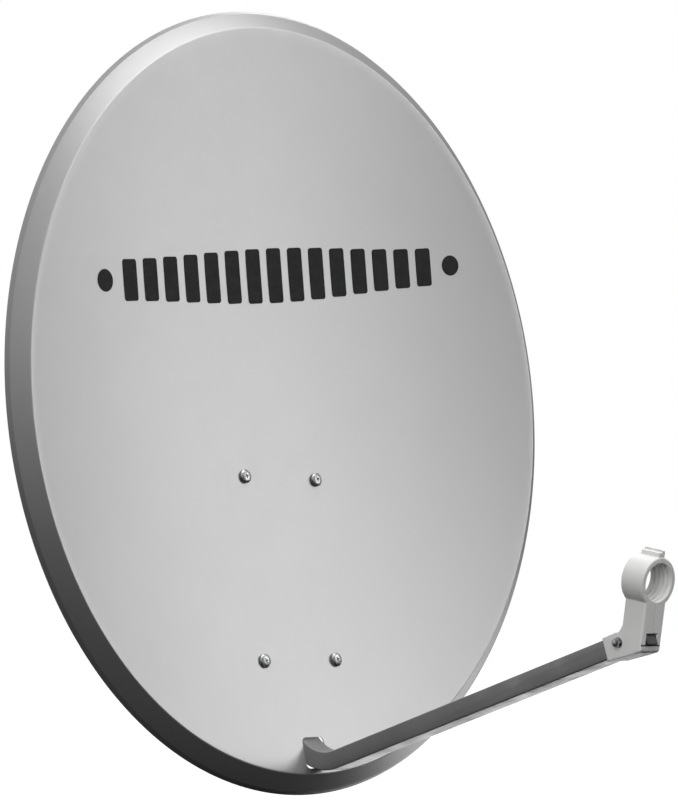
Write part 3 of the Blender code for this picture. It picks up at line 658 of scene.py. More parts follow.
def make_mark():
    """Plain printed decoration: a row of bars that rise and fall, between two discs."""
    pitch = 2 * MARK_REACH / BAR_COUNT
    for index in range(BAR_COUNT):
        middle = -MARK_REACH + pitch * (index + 0.5)
        swell = math.cos(math.pi * middle / (2 * MARK_REACH)) ** 2
        half = MARK_HEIGHT / 2 * (BAR_LOWEST + (1.0 - BAR_LOWEST) * swell)
        reach = pitch * BAR_SHARE
        bar = rounded_bar(middle - reach, middle + reach, -half, half, BAR_CORNER)
        mark_shape("printed_bar_%02d" % (index + 1), bar)
    for name, side in (("left", -1), ("right", 1)):
        centre = (side * (MARK_REACH + DISC_GAP), 0.0)
        mark_shape("printed_disc_" + name, arc(centre, DISC_RADIUS, 0.0, 2 * math.pi, 40)[:-1])


# ---------------- screws, nuts and washers

# Thread sizes: radius, pitch and width of the head across its flats
M5 = (0.0025, 0.0008, 0.0080)
M6 = (0.0030, 0.0010, 0.0100)
M8 = (0.0040, 0.00125, 0.0130)
THREAD_SIDES = 28
ROWS_PER_TURN = 5
THREAD_DEPTH = 0.36
END_TAPER = 0.6
CHAMFER_FLAT = 0.97
CHAMFER_CORNER = 1.02
CHAMFER_FALL = 0.62
BORE_MOUTH = 1.12
MOUTH_DEPTH = 0.0008
CUT_CLEAR = 0.001
HEX_EDGE = 0.00012
WASHER_EDGE = 0.0003
HEAD_OVERLAP = 0.0004


def threaded(name, size, low, high, matrix):
    """A stem with a helical thread between two heights, closed at both ends."""
    radius, pitch, _ = size
    depth = pitch * THREAD_DEPTH
    sides = THREAD_SIDES
    rows = max(2, int((high - low) / pitch * ROWS_PER_TURN))
    bm = bmesh.new()
    rings = []
    for row in range(rows + 1):
        height = low + (high - low) * row / rows
        fade = min(1.0, (height - low) / pitch, (high - height) / pitch)
        ring = []
        for step in range(sides):
            angle = 2 * math.pi * step / sides
            phase = (height / pitch - step / sides) % 1.0
            groove = depth * (1.0 - abs(2.0 * phase - 1.0)) * fade
            reach = radius - groove - (1.0 - fade) * depth * END_TAPER
            spot = (reach * math.cos(angle), reach * math.sin(angle), height)
            ring.append(bm.verts.new(spot))
        rings.append(ring)
    bridge(bm, rings)
    bm.faces.new(rings[0][::-1])
    bm.faces.new(rings[-1])
    return smooth(mesh_object(name, bm, ZINC, matrix), 60.0)


def merge(pieces, name):
    """Join separate meshes into one object."""
    bm = bmesh.new()
    for piece in pieces:
        bm.from_mesh(piece.data)
    material = pieces[0].data.materials[0]
    for piece in pieces:
        bpy.data.objects.remove(piece, do_unlink=True)
    return smooth(mesh_object(name, bm, material), 40.0)


def hex_head(name, across, low, high, matrix, bore=0.0):
    """Hexagon with both rims chamfered by a cone, and a bore where it is a nut."""
    corner = across / 2 / math.cos(math.pi / 6)
    rise = (corner - across / 2) * CHAMFER_FALL
    flat = across / 2 * CHAMFER_FLAT
    wide = corner * CHAMFER_CORNER
    points = arc((0.0, 0.0), corner, 0.0, 2 * math.pi, 6)[:-1]
    body = prism(name, points, low, high, "xy", ZINC)
    cone = [(0.0, high), (flat, high), (wide, high - rise), (wide, low + rise), (flat, low),
            (0.0, low)]
    boolean(body, lathe("cone_tool", cone, Matrix(), None, 48), "INTERSECT")
    if bore:
        mouth = bore * BORE_MOUTH + CUT_CLEAR
        over = high + CUT_CLEAR
        below = low - CUT_CLEAR
        hole = [(0.0, over), (mouth, over), (bore, high - MOUTH_DEPTH), (bore, low + MOUTH_DEPTH),
                (mouth, below), (0.0, below)]
        boolean(body, lathe("bore_tool", hole, Matrix(), None, 32), "DIFFERENCE")
    body.data.transform(matrix)
    return bevel(body, HEX_EDGE, 2)


def make_nut(node, bore, across, low, high, matrix):
    """A chamfered hexagon nut that stands for a CAD nut."""
    nut = hex_head(node + "_fine", across, low, high, matrix, bore)
    smooth(nut)
    place_piece(nut, body_of(node), [node])


def make_washer(node, bore, outer, low, high, matrix, mat=ZINC):
    """A flat washer with rolled edges."""
    soft = min(WASHER_EDGE, (high - low) / 3)
    profile = [(outer - soft, high), (outer, high - soft), (outer, low + soft),
               (outer - soft, low), (bore + soft, low), (bore, low + soft), (bore, high - soft),
               (bore + soft, high)]
    ring = lathe(node + "_fine", profile, matrix, mat, 48)
    smooth(ring)
    place_piece(ring, body_of(node), [node])


def make_hex_bolt(node, size, head_low, head_high, end, plain, matrix):
    """Hexagon bolt: chamfered head, plain shank of a given length and threaded end."""
    radius, _, across = size
    head = hex_head(node + "_head", across, head_low, head_high, matrix)
    forward = end > head_high
    start = head_high - HEAD_OVERLAP if forward else head_low + HEAD_OVERLAP
    change = start + math.copysign(plain, end - start)
    low, high = sorted((start, change))
    stem = [(0.0, high), (radius, high), (radius, low), (0.0, low)]
    shank = lathe(node + "_shank", stem, matrix, ZINC, 32)
    low, high = sorted((change, end))
    thread = threaded(node + "_thread", size, low, high, matrix)
    bolt = merge([head, shank, thread], node + "_fine")
    place_piece(bolt, body_of(node), [node])


HEAD_RADIUS = 0.0080
HEAD_UNDER = 0.0010
HEAD_HEIGHT = 0.0030
HEAD_EDGE = 0.0004
DOME_HEIGHT = 0.0020
CROWN_STEP = 7.5
CROWN_POINTS = 12
RECESS_DEPTH = 0.0018
RECESS_REACH = (0.0018, 0.0044)
RECESS_WIDTH = (0.0012, 0.0018)
RECESS_CONE = (0.0012, 0.0021)
RECESS_TIP = 0.0006
RECESS_CLEAR = 0.002
RECESS_TURN = math.radians(17.0)
SCREW_SPARE = 0.002
SPACER_RADIUS = 0.0080
SPACER_FRONT = -0.0028
SCREW_WASHER_RADIUS = 0.0065
WASHER_THICK = 0.0014
NUT_HEIGHT = 0.0052


def cross_recess(depth_top, depth):
    """Cutter for a cross recess: four tapering wings and a small cone."""
    wings = []
    for turn in range(2):
        bm = bmesh.new()
        bmesh.ops.create_cube(bm, size=1.0)
        for vert in bm.verts:
            top = vert.co.z > 0
            vert.co.x *= 2 * RECESS_REACH[top]
            vert.co.y *= RECESS_WIDTH[top]
            vert.co.z = depth_top if top else depth
        quarter = Matrix.Rotation(turn * math.pi / 2, 4, "Z")
        wings.append(mesh_object("wing_tool", bm, None, quarter))
    boolean(wings[0], wings[1], "UNION")
    cone = [(0.0, depth_top), (RECESS_CONE[1], depth_top), (RECESS_CONE[0], depth),
            (0.0, depth - RECESS_TIP)]
    return boolean(wings[0], lathe("cone_tool", cone, Matrix(), None, 24), "UNION")


def make_reflector_screw(name, x, y):
    """Pan head cross-recess screw through the reflector and the plate."""
    node = "reflector_screw_" + name
    place = BRACKET @ Matrix.Translation((x, y, 0.0))
    top = HEAD_UNDER + HEAD_HEIGHT
    head = HEAD_RADIUS
    crown = [math.radians(CROWN_STEP * step) for step in range(CROWN_POINTS)]
    dome = [(head * math.sin(angle), top - DOME_HEIGHT * (1.0 - math.cos(angle)))
            for angle in crown]
    foot = fillet((head, top), (head, HEAD_UNDER), (0.0, HEAD_UNDER), HEAD_EDGE, 3)
    profile = dome + foot + [(0.0, HEAD_UNDER)]
    body = lathe(node + "_head", profile, Matrix(), ZINC, 72)
    boolean(body, cross_recess(top + RECESS_CLEAR, top - RECESS_DEPTH), "DIFFERENCE")
    body.data.transform(place @ Matrix.Rotation(RECESS_TURN, 4, "Z"))
    end = PLATE_FRONT - PLATE_THICK - 2 * GAP - WASHER_THICK - NUT_HEIGHT - SCREW_SPARE
    thread = threaded(node + "_thread", M6, end, HEAD_UNDER + GAP, place)
    screw = merge([body, thread], node + "_fine")
    place_piece(screw, body_of(node), [node])


def make_reflector_fixings():
    """Screws, rubber spacers, washers and nuts at the four corners of the plate."""
    washer_high = PLATE_FRONT - PLATE_THICK - GAP
    washer_low = washer_high - WASHER_THICK
    nut_high = washer_low - GAP
    for name, x, y in screw_places():
        place = BRACKET @ Matrix.Translation((x, y, 0.0))
        make_reflector_screw(name, x, y)
        make_washer("screw_spacer_" + name, M6_HOLE, SPACER_RADIUS, PLATE_FRONT + GAP,
                    SPACER_FRONT, place, RUBBER)
        make_washer("screw_washer_" + name, M6_HOLE, SCREW_WASHER_RADIUS, washer_low,
                    washer_high, place)
        make_nut("screw_nut_" + name, M6_HOLE, M6[2], nut_high - NUT_HEIGHT, nut_high, place)


# ---------------- feed arm

BEND_STEPS = 32
TUBE_CORNER = 0.0016
TUBE_INNER_CORNER = 0.0006
BOLT_REACH = 0.03
ARM_HOLE_DEPTH = 0.05
ARM_WASHER_RADIUS = 0.0070
ARM_BOLT_HEAD = 0.0040
ARM_BOLT_PLAIN = 0.012
ARM_BOLT_SINK = 0.0002


def side_point(matrix, y, z):
    """A point of a frame's side plane as (Y, Z) from the dish centre."""
    spot = SIDE.inverted() @ matrix @ Vector((0.0, y, z))
    return Vector((spot.y, spot.z))


def arm_line():
    """Ends, directions and corner of the arm's centre line in the side plane."""
    depth = PLATE_FRONT - PLATE_THICK - GAP - ARM_HEIGHT / 2
    top = side_point(BRACKET, ARM_TOP_V, depth)
    down = (side_point(BRACKET, ARM_TOP_V - 0.1, depth) - top).normalized()
    forward = Vector((-math.cos(ARM_PITCH), math.sin(ARM_PITCH)))
    tip = Vector(ARM_POINT) + forward * ((ARM_TIP_Y - ARM_POINT[0]) / forward.x)
    normal = Vector((forward.y, -forward.x))
    corner = top + down * ((tip - top).dot(normal) / down.dot(normal))
    return top, down, corner, forward, tip


def arm_stations():
    """Points and outward directions along the arm's centre line."""
    top, down, corner, forward, tip = arm_line()
    turn = down.angle(forward)
    tangent = ARM_BEND_RADIUS * math.tan(turn / 2)
    centre = corner + (forward - down).normalized() * (ARM_BEND_RADIUS / math.cos(turn / 2))
    first = (corner - down * tangent) - centre
    last = (corner + forward * tangent) - centre
    stations = [(top, first.normalized())]
    for step in range(BEND_STEPS + 1):
        outward = first.slerp(last, step / BEND_STEPS).normalized()
        stations.append((centre + outward * ARM_BEND_RADIUS, outward))
    stations.append((tip, last.normalized()))
    return stations


def tube_section(inset, corner):
    """Rounded rectangle of the tube, across and outward, at an inset from its skin."""
    half_x = ARM_WIDTH / 2 - inset
    half_y = ARM_HEIGHT / 2 - inset
    return rounded_bar(-half_x, half_x, -half_y, half_y, corner)


def make_arm():
    """Bent rectangular tube with rounded edges and open ends."""
    outer = tube_section(0.0, TUBE_CORNER)
    inner = tube_section(ARM_WALL, TUBE_INNER_CORNER)
    bm = bmesh.new()
    walls = []
    for section in (outer, inner):
        rings = []
        for point, outward in arm_stations():
            ring = []
            for across, up in section:
                spot = point + outward * up
                ring.append(bm.verts.new((across, spot.x, spot.y)))
            rings.append(ring)
        walls.append(rings)
    for rings in walls:
        bridge(bm, rings)
    for end in (0, -1):
        bridge(bm, [rings[end] for rings in walls])
    bmesh.ops.recalc_face_normals(bm, faces=bm.faces)
    arm = mesh_object("feed_arm_fine", bm, ARM, SIDE)
    drill(arm, M5_HOLE, -BOLT_REACH, BOLT_REACH, HOLDER_CROSS)
    for v in ARM_SCREW_V:
        drill(arm, M6_HOLE, -ARM_HOLE_DEPTH, 0.0, BRACKET @ Matrix.Translation((0.0, v, 0.0)))
    smooth(arm, 50.0)
    place_piece(arm, body_of("feed_arm"), ["feed_arm"])


def make_arm_fixings():
    """Two bolts with washers at the arm's foot."""
    back = PLATE_FRONT - PLATE_THICK - GAP - ARM_HEIGHT - GAP
    for name, v in zip(("upper", "lower"), ARM_SCREW_V):
        place = BRACKET @ Matrix.Translation((0.0, v, 0.0))
        under = back - WASHER_THICK
        make_washer("arm_washer_" + name, M6_HOLE, ARM_WASHER_RADIUS, under, back, place)
        head = under - GAP
        end = PLATE_FRONT - ARM_BOLT_SINK
        make_hex_bolt("arm_bolt_" + name, M6, head - ARM_BOLT_HEAD, head, end, ARM_BOLT_PLAIN,
                      place)


# ---------------- feed holder

def arm_frame():
    """Matrix with x across, y up across the arm and z forward along it, at the arm's tip."""
    tip = arm_line()[4]
    forward = Vector((0.0, -math.cos(ARM_PITCH), math.sin(ARM_PITCH)))
    upward = Vector((0.0, math.sin(ARM_PITCH), math.cos(ARM_PITCH)))
    turn = Matrix((upward.cross(forward), upward, forward)).transposed().to_4x4()
    return SIDE @ Matrix.Translation((0.0, tip.x, tip.y)) @ turn


def ring_frame():
    """Matrix with z along the ring's axis, from its front face to the dish."""
    axis = Vector((0.0, math.cos(RING_PITCH), math.sin(RING_PITCH)))
    upward = Vector((0.0, -math.sin(RING_PITCH), math.cos(RING_PITCH)))
    turn = Matrix((upward.cross(axis), upward, axis)).transposed().to_4x4()
    return SIDE @ Matrix.Translation((0.0, *RING_CENTRE)) @ turn


ARM_TIP = arm_frame()
RING = ring_frame()
VOXEL = 0.0005
HOLDER_TOE = (-0.5083, -0.2866)
TOE_RADIUS = 0.0040
KNEE_RADIUS = 0.0060
SEAM_HALF = 0.00032
HOLDER_EDGE = 0.0026
WINDOW_DROP = 0.0044
WINDOW_HALF = (0.0088, 0.0054)
WINDOW_CUT = (-0.005, 0.02)
FLUSH_SHARE = 0.7
REAR_CLEAR = 0.006
RING_EDGE = 0.0016
RIBS = 5
GROOVE_HALF = 0.0011
GROOVE_DEPTH = 0.0022
BORE_CLEAR = 0.01
LUG_HALF_X = 0.0044
LUG_HEIGHTS = ((-1, 0.0068), (1, 0.0044))
LUG_SINK = 0.003
LUG_FRONT = 0.0006
LUG_BACK = 0.004
RELAX_STEPS = 6
FACES_KEPT = 0.30
PARTING_LOW = (-0.60, -0.35)
PARTING_HIGH = (-0.40, -0.15)
PARTING_REACH = 0.04
ROOM_REAR = -0.08
CAP_SEAT = 0.0021
CAP_THICK = 0.0018
CAP_EDGE = 0.0004
STUB_DEPTH = 0.010
CAP_OVERLAP = 0.001
BOSS_INSET = 0.0006
BOSS_FRONT = 0.0046
BOSS_EDGE = 0.0005
HOLDER_WASHER_RADIUS = 0.0056
HOLDER_WASHER_THICK = 0.0010
M5_HEAD = 0.0035
M5_NUT = 0.0040
HOLDER_BOLT_END = 0.0180
HOLDER_BOLT_PLAIN = 0.022


def holder_outline():
    """Side view of the neck and sleeve, with soft knees and the neck flush with the ring."""
    half = ARM_HEIGHT / 2 + GAP + HOLDER_WALL
    spots = []
    for up, ahead in ((half, -SLEEVE_REAR), (-half, -SLEEVE_REAR), (half, -SLEEVE_KNEE)):
        spot = SIDE.inverted() @ ARM_TIP @ Vector((0.0, up, ahead))
        spots.append((spot.y, spot.z))
    flush = SIDE.inverted() @ RING @ Vector((0.0, -RING_OUTER * FLUSH_SHARE, 0.0))
    outline = spots[:2] + [HOLDER_TOE, (flush.y, flush.z), *NECK_BACK, spots[2]]
    points = outline[:2] + fillet(*outline[1:4], TOE_RADIUS, 4) + outline[3:5]
    for before, corner, after in (outline[4:7], outline[5:] + outline[:1]):
        points += fillet(before, corner, after, KNEE_RADIUS, 4)
    return points


def holder_body():
    """Neck and sleeve in one moulding; all but the sleeve's rear edges are rounded."""
    body = prism("holder_body", holder_outline(), -HOLDER_HALF_X, HOLDER_HALF_X, "yz", WHITE,
                 SIDE)
    rear = (ARM_TIP @ Vector((0.0, 0.0, -SLEEVE_REAR))).y
    bm = bmesh.new()
    bm.from_mesh(body.data)
    edges = []
    for edge in bm.edges:
        first, second = (vert.co for vert in edge.verts)
        along_side = abs(first.x - second.x) < NEARLY_ZERO
        clear_of_rear = max(first.y, second.y) < rear - REAR_CLEAR
        if along_side and clear_of_rear:
            edges.append(edge)
    bmesh.ops.bevel(bm, geom=edges, offset=HOLDER_EDGE, offset_type="OFFSET", segments=5,
                    profile=0.5, affect="EDGES", clamp_overlap=False)
    bm.to_mesh(body.data)
    bm.free()
    return body


def ring_bore():
    """Cutter for the bore, with narrow grooves between broad ribs."""
    deep = RING_BORE + GROOVE_DEPTH
    pitch = RING_LENGTH / RIBS
    profile = [(0.0, -BORE_CLEAR), (RING_BORE, -BORE_CLEAR)]
    for rib in range(1, RIBS):
        middle = pitch * rib
        profile += [(RING_BORE, middle - GROOVE_HALF), (deep, middle - GROOVE_HALF / 2),
                    (deep, middle + GROOVE_HALF / 2), (RING_BORE, middle + GROOVE_HALF)]
    profile += [(RING_BORE, RING_LENGTH + BORE_CLEAR), (0.0, RING_LENGTH + BORE_CLEAR)]
    return lathe("bore_tool", profile, RING, None, 128)


def holder_blank():
    """The whole moulding before it is cut: body, ring and lugs, with its edges melted a little."""
    blank = holder_body()
    back = (RING_OUTER, RING_LENGTH)
    front = (RING_OUTER, 0.0)
    ring = [(0.0, RING_LENGTH)] + fillet((0.0, RING_LENGTH), back, front, RING_EDGE, 6)
    ring += fillet(back, front, (0.0, 0.0), RING_EDGE, 6) + [(0.0, 0.0)]
    boolean(blank, lathe("ring_tool", ring, RING, None, 128), "UNION")
    for side, height in LUG_HEIGHTS:
        span = sorted((side * LUG_HALF_X, -side * SEAM_HALF))
        low = (span[0], RING_OUTER - LUG_SINK, LUG_FRONT)
        high = (span[1], RING_OUTER + height, RING_LENGTH - LUG_BACK)
        boolean(blank, block("lug_tool", low, high, None, RING), "UNION")
    remesh = blank.modifiers.new("remesh", "REMESH")
    remesh.mode = "VOXEL"
    remesh.voxel_size = VOXEL
    relax = blank.modifiers.new("relax", "SMOOTH")
    relax.factor = 0.5
    relax.iterations = RELAX_STEPS
    thin = blank.modifiers.new("thin", "DECIMATE")
    thin.ratio = FACES_KEPT
    return settle(blank)


def make_holder_half(blank, node, side):
    """One half of the moulding, cut out for the converter, the arm, the window and the bolt."""
    half = add_object(node + "_fine", blank.data.copy())
    far = sorted((side * SEAM_HALF, -side * PARTING_REACH))
    room = Vector((ARM_WIDTH / 2 + GAP, ARM_HEIGHT / 2 + GAP))
    wide, tall = WINDOW_HALF
    parting = block("parting_tool", (far[0], *PARTING_LOW), (far[1], *PARTING_HIGH), None, SIDE)
    boolean(half, parting, "DIFFERENCE")
    boolean(half, ring_bore(), "DIFFERENCE")
    boolean(half, block("room_tool", (*-room, ROOM_REAR), (*room, CAP_SEAT), None, ARM_TIP),
            "DIFFERENCE")
    low = (-wide, -WINDOW_DROP - tall, WINDOW_CUT[0])
    high = (wide, -WINDOW_DROP + tall, WINDOW_CUT[1])
    boolean(half, block("window_tool", low, high, None, ARM_TIP), "DIFFERENCE")
    drill(half, M5_HOLE, -BOLT_REACH, BOLT_REACH, HOLDER_CROSS)
    half.data.materials.clear()
    half.data.materials.append(WHITE)
    smooth(half, 38.0)
    place_piece(half, body_of(node), [node])


def make_holder():
    """Both halves of the feed holder."""
    blank = holder_blank()
    make_holder_half(blank, "feed_holder_left", -1)
    make_holder_half(blank, "feed_holder_right", 1)
    bpy.data.objects.remove(blank, do_unlink=True)


def make_end_cap():
    """Black plug of the arm's tip, with a boss that fills the holder's window."""
    half_x = ARM_WIDTH / 2
    half_y = ARM_HEIGHT / 2
    inner = ARM_WALL + GAP
    cap = block("arm_end_cap_fine", (-half_x, -half_y, GAP), (half_x, half_y, CAP_THICK), BLACK,
                ARM_TIP)
    bevel(cap, CAP_EDGE)
    stub = block("stub_tool", (-half_x + inner, -half_y + inner, -STUB_DEPTH),
                 (half_x - inner, half_y - inner, CAP_OVERLAP), None, ARM_TIP)
    boolean(cap, stub, "UNION")
    wide, tall = WINDOW_HALF
    low = (-wide + BOSS_INSET, -half_y + BOSS_INSET, CAP_OVERLAP)
    high = (wide - BOSS_INSET, -WINDOW_DROP + tall - BOSS_INSET, BOSS_FRONT)
    boolean(cap, bevel(block("boss_tool", low, high, None, ARM_TIP), BOSS_EDGE), "UNION")
    cap.data.materials.clear()
    cap.data.materials.append(BLACK)
    smooth(cap)
    place_piece(cap, body_of("arm_end_cap"), ["arm_end_cap"])


def make_holder_fixings():
    """Cross bolt, washers and nut of the holder."""
    face = HOLDER_HALF_X + GAP
    outer = face + HOLDER_WASHER_THICK
    bore = M5[0] + GAP
    radius = HOLDER_WASHER_RADIUS
    make_washer("holder_washer_left", bore, radius, -outer, -face, HOLDER_CROSS)
    make_washer("holder_washer_right", bore, radius, face, outer, HOLDER_CROSS)
    head = -outer - GAP
    make_hex_bolt("holder_bolt", M5, head - M5_HEAD, head, face + HOLDER_BOLT_END,
                  HOLDER_BOLT_PLAIN, HOLDER_CROSS)
    nut_low = outer + GAP
    make_nut("holder_nut", bore, M5[2], nut_low, nut_low + M5_NUT, HOLDER_CROSS)


# ---------------- rear hardware

EAR_FACE = 0.0345 + GAP
M8_WASHER = 0.0016
M8_NUT = 0.0065
M8_HEAD = 0.0053
CHEEK_INNER = 0.0286
CLAMP_BOLT_X = 0.044
WEB_FRONT = -0.0480
JAW_BACK = 0.0479553
CLAMP_SPARE = 0.026
CLAMP_PLAIN = 0.050
PIVOT_PLAIN = 0.060
TILT_SPARE = 0.004
PIVOT_WASHER_RADIUS = 0.0120
M8_WASHER_RADIUS = 0.0090
LOCK_HEAD_RADIUS = 0.0090
LOCK_HEAD_RISE = 0.0042


def make_tilt_fixings():
    """Pivot bolt and the two lock bolts of the elevation joint."""
    washer_end = EAR_FACE + M8_WASHER
    nut_low = washer_end + GAP
    nut_high = nut_low + M8_NUT
    bore = M8[0] + GAP
    end = nut_high + TILT_SPARE
    radius = PIVOT_WASHER_RADIUS
    pivot = along((1.0, 0.0, 0.0), PIVOT)
    make_hex_bolt("pivot_bolt", M8, -nut_low - M8_HEAD, -nut_low, end, PIVOT_PLAIN, pivot)
    make_washer("pivot_washer_left", bore, radius, -washer_end, -EAR_FACE, pivot)
    make_washer("pivot_washer_right", bore, radius, EAR_FACE, washer_end, pivot)
    make_nut("pivot_nut", bore, M8[2], nut_low, nut_high, pivot)
    inner = CHEEK_INNER - GAP
    for name, side in (("left", -1), ("right", 1)):
        lock = along((side, 0.0, 0.0), PIVOT - Vector((0.0, 0.0, ARC_RADIUS)))
        dome = arc((inner - HEAD_OVERLAP, 0.0), LOCK_HEAD_RISE, math.pi, math.pi / 2, 8)
        head = [(reach * LOCK_HEAD_RADIUS / LOCK_HEAD_RISE, height) for height, reach in dome]
        profile = [(0.0, inner), (LOCK_HEAD_RADIUS, inner)] + head[::-1]
        node = "lock_bolt_" + name
        cap = lathe(node + "_head", profile, lock, ZINC, 48)
        stem = threaded(node + "_stem", M8, inner - GAP, end, lock)
        place_piece(merge([cap, stem], node + "_fine"), body_of(node), [node])
        make_washer("lock_washer_" + name, bore, M8_WASHER_RADIUS, EAR_FACE, washer_end, lock)
        make_nut("lock_nut_" + name, bore, M8[2], nut_low, nut_high, lock)


def make_clamp_fixings():
    """Two long bolts through the web and the jaw."""
    bore = M8[0] + GAP
    head = WEB_FRONT - GAP
    washer_low = JAW_BACK + GAP
    washer_high = washer_low + M8_WASHER
    nut_low = washer_high + GAP
    for name, side in (("left", -1), ("right", 1)):
        bolt = along((0.0, 1.0, 0.0), (side * CLAMP_BOLT_X, 0.0, 0.0))
        make_hex_bolt("clamp_bolt_" + name, M8, head - M8_HEAD, head, JAW_BACK + CLAMP_SPARE,
                      CLAMP_PLAIN, bolt)
        make_washer("clamp_washer_" + name, bore, M8_WASHER_RADIUS, washer_low, washer_high, bolt)
        make_nut("clamp_nut_" + name, bore, M8[2], nut_low, nut_low + M8_NUT, bolt)


SCALE_THICK = 0.0008
TICK_END = 0.0464
TICK_LENGTHS = (0.0024, 0.0040)
TICK_HALF = 0.00022
NUMBER_RADIUS = 0.0388
NUMBER_SIZE = 0.0040
SCALE_DEGREES = range(-20, 26, 5)
NUMBER_EVERY = 10


def scale_number(degrees, place):
    """A printed number of the elevation scale, placed by a matrix."""
    curve = bpy.data.curves.new("scale_number", "FONT")
    curve.body = str(degrees)
    curve.size = NUMBER_SIZE
    curve.align_x = "CENTER"
    curve.align_y = "CENTER"
    curve.extrude = INK_THICK
    writing = add_object("scale_number", curve)
    mesh = evaluated_mesh(writing)
    bpy.data.objects.remove(writing, do_unlink=True)
    mesh.transform(place)
    mesh.materials.clear()
    mesh.materials.append(INK)
    return add_object("scale_number", mesh)


def make_scale_marks():
    """Ticks every 5 degrees and numbers every 10 on the elevation scale."""
    face = -EAR_FACE - SCALE_THICK
    pivot = Vector((0.0, *PIVOT_IN_BRACKET))
    marks = []
    for degrees in SCALE_DEGREES:
        angle = math.pi + BRACKET_LEAN + math.radians(degrees)
        outward = Vector((0.0, math.cos(angle), math.sin(angle)))
        aside = Vector((0.0, math.sin(angle), -math.cos(angle)))
        numbered = degrees % NUMBER_EVERY == 0
        start = TICK_END - TICK_LENGTHS[numbered]
        corners = []
        for reach, sign in ((start, -1), (TICK_END, -1), (TICK_END, 1), (start, 1)):
            corner = pivot + outward * reach + aside * sign * TICK_HALF
            corners.append((corner.y, corner.z))
        marks.append(prism("scale_tick", corners, face - INK_THICK, face + INK_THICK, "yz", INK,
                           BRACKET))
        if numbered:
            turn = Matrix((aside, -outward, Vector((-1.0, 0.0, 0.0)))).transposed().to_4x4()
            centre = pivot + outward * NUMBER_RADIUS + Vector((face, 0.0, 0.0))
            place = BRACKET @ Matrix.Translation(centre) @ turn
            marks.append(scale_number(abs(degrees), place))
    place_piece(merge(marks, "scale_marks"), body_of("elevation_scale"), [])


# ---------------- studio

FLOOR_HALF = 40.0
FLOOR_DROP = 0.35


def make_studio():
    """Pale floor under the dish, which only the camera sees."""
    bm = bmesh.new()
    below = Matrix.Translation((0.0, 0.0, CAD_BOX[0].z - FLOOR_DROP))
    bmesh.ops.create_grid(bm, x_segments=2, y_segments=2, size=FLOOR_HALF, matrix=below)
    floor = mesh_object("studio_floor", bm, floor_paint())
    floor.visible_diffuse = False
    floor.visible_glossy = False
    floor.visible_shadow = False


def soft_box(name, turn, rise, distance, size, power, diffuse=True, glossy=True):
    """A square light aimed at the dish, turn degrees to its right and rise degrees above it."""
    turn = math.radians(turn)
    rise = math.radians(rise)
    flat = math.cos(rise)
    away = Vector((math.sin(turn) * flat, -math.cos(turn) * flat, math.sin(rise)))
    lamp = bpy.data.lights.new(name, "AREA")
    lamp.size = size
    lamp.energy = power
    holder = add_object(name, lamp)
    holder.location = DISH_CENTRE + away * distance
    holder.rotation_euler = away.to_track_quat("Z", "Y").to_euler()
    holder.visible_diffuse = diffuse
    holder.visible_glossy = glossy


def make_world():
    """White to the camera; to the object, lighter above than below."""
    world = bpy.data.worlds.new("studio")
    bpy.context.scene.world = world
    world.use_nodes = True
    nodes = world.node_tree.nodes
    links = world.node_tree.links
    nodes.clear()
    place = nodes.new("ShaderNodeTexCoord")
    split = nodes.new("ShaderNodeSeparateXYZ")
    links.new(place.outputs["Generated"], split.inputs["Vector"])
    ramp = nodes.new("ShaderNodeMapRange")
    set_sockets(ramp, From_Min=-0.2, From_Max=0.9, To_Min=0.0, To_Max=0.55)
    links.new(split.outputs["Z"], ramp.inputs["Value"])
    soft = nodes.new("ShaderNodeBackground")
    links.new(ramp.outputs["Result"], soft.inputs["Strength"])
    white = nodes.new("ShaderNodeBackground")
    set_sockets(white, Color=(1.0, 1.0, 1.0, 1.0), Strength=1.0)
    seen = nodes.new("ShaderNodeLightPath")
    mix = nodes.new("ShaderNodeMixShader")
    links.new(seen.outputs["Is Camera Ray"], mix.inputs["Fac"])
    links.new(soft.outputs["Background"], mix.inputs[1])
    links.new(white.outputs["Background"], mix.inputs[2])
    output = nodes.new("ShaderNodeOutputWorld")
    links.new(mix.outputs["Shader"], output.inputs["Surface"])


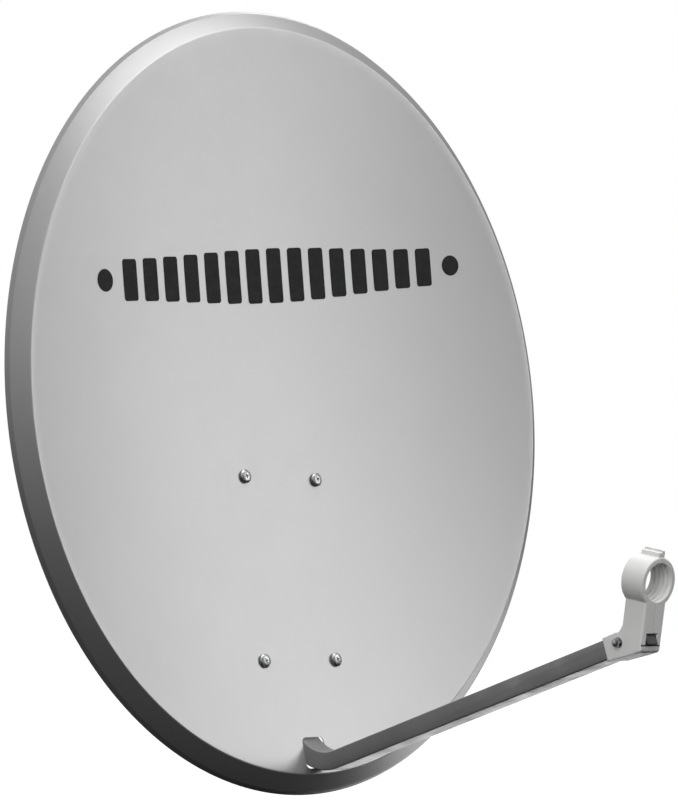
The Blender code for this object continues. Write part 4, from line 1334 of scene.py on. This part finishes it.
def make_lights():
    """Key and fill in front, a box behind, and boxes that show only in the dish's sheen."""
    soft_box("key_box", 21.0, 56.0, 3.0, 2.2, 31.0)
    soft_box("above_box", 0.0, 65.0, 3.0, 2.0, 24.0, glossy=False)
    soft_box("sheen_box", 46.0, 13.0, 3.0, 1.4, 12.9, diffuse=False)
    soft_box("fill_box", -50.0, 14.0, 3.0, 2.0, 44.0, glossy=False)
    soft_box("under_box", 129.0, -29.0, 2.2, 1.2, 8.0, diffuse=False)
    soft_box("low_box", 88.0, -23.0, 2.6, 1.2, 6.5, diffuse=False)
    soft_box("left_box", -16.0, 26.0, 3.0, 1.6, 4.0, diffuse=False)
    soft_box("rear_box", 172.0, 0.0, 3.2, 2.8, 22.0, diffuse=False)
    soft_box("side_box", -137.0, 5.0, 3.0, 1.6, 6.0, diffuse=False)
    soft_box("back_box", 150.0, 40.0, 3.0, 2.0, 45.0)


def make_camera():
    """Camera low on the dish's left front, looking a little up."""
    flat = math.cos(VIEW_RISE)
    back = Vector((-math.sin(VIEW_ANGLE) * flat, -math.cos(VIEW_ANGLE) * flat,
                   math.sin(VIEW_RISE)))
    right = Vector((math.cos(VIEW_ANGLE), -math.sin(VIEW_ANGLE), 0.0))
    up = back.cross(right)
    place = DISH_CENTRE + right * VIEW_SIDE + up * VIEW_UP + back * VIEW_DISTANCE
    data = bpy.data.cameras.new("camera")
    data.lens = LENS
    data.sensor_width = SENSOR_WIDTH
    camera = add_object("camera", data)
    turn = Matrix((right, up, back)).transposed().to_4x4()
    camera.matrix_world = Matrix.Translation(place) @ turn
    bpy.context.scene.camera = camera


# ---------------- build

make_camera()
make_world()
make_lights()
make_studio()
bpy.context.scene.view_settings.view_transform = "Standard"

make_reflector()
make_mark()
make_reflector_fixings()
make_arm()
make_arm_fixings()
make_holder()
make_end_cap()
make_holder_fixings()
make_tilt_fixings()
make_clamp_fixings()
refined("dish_bracket", BACK_STEEL, 0.0005)
refined("elevation_scale", PLATE, 0.0002)
make_scale_marks()
refined("mast_bracket", BACK_STEEL, 0.0004)
refined("clamp_jaw", BACK_STEEL, 0.0004)
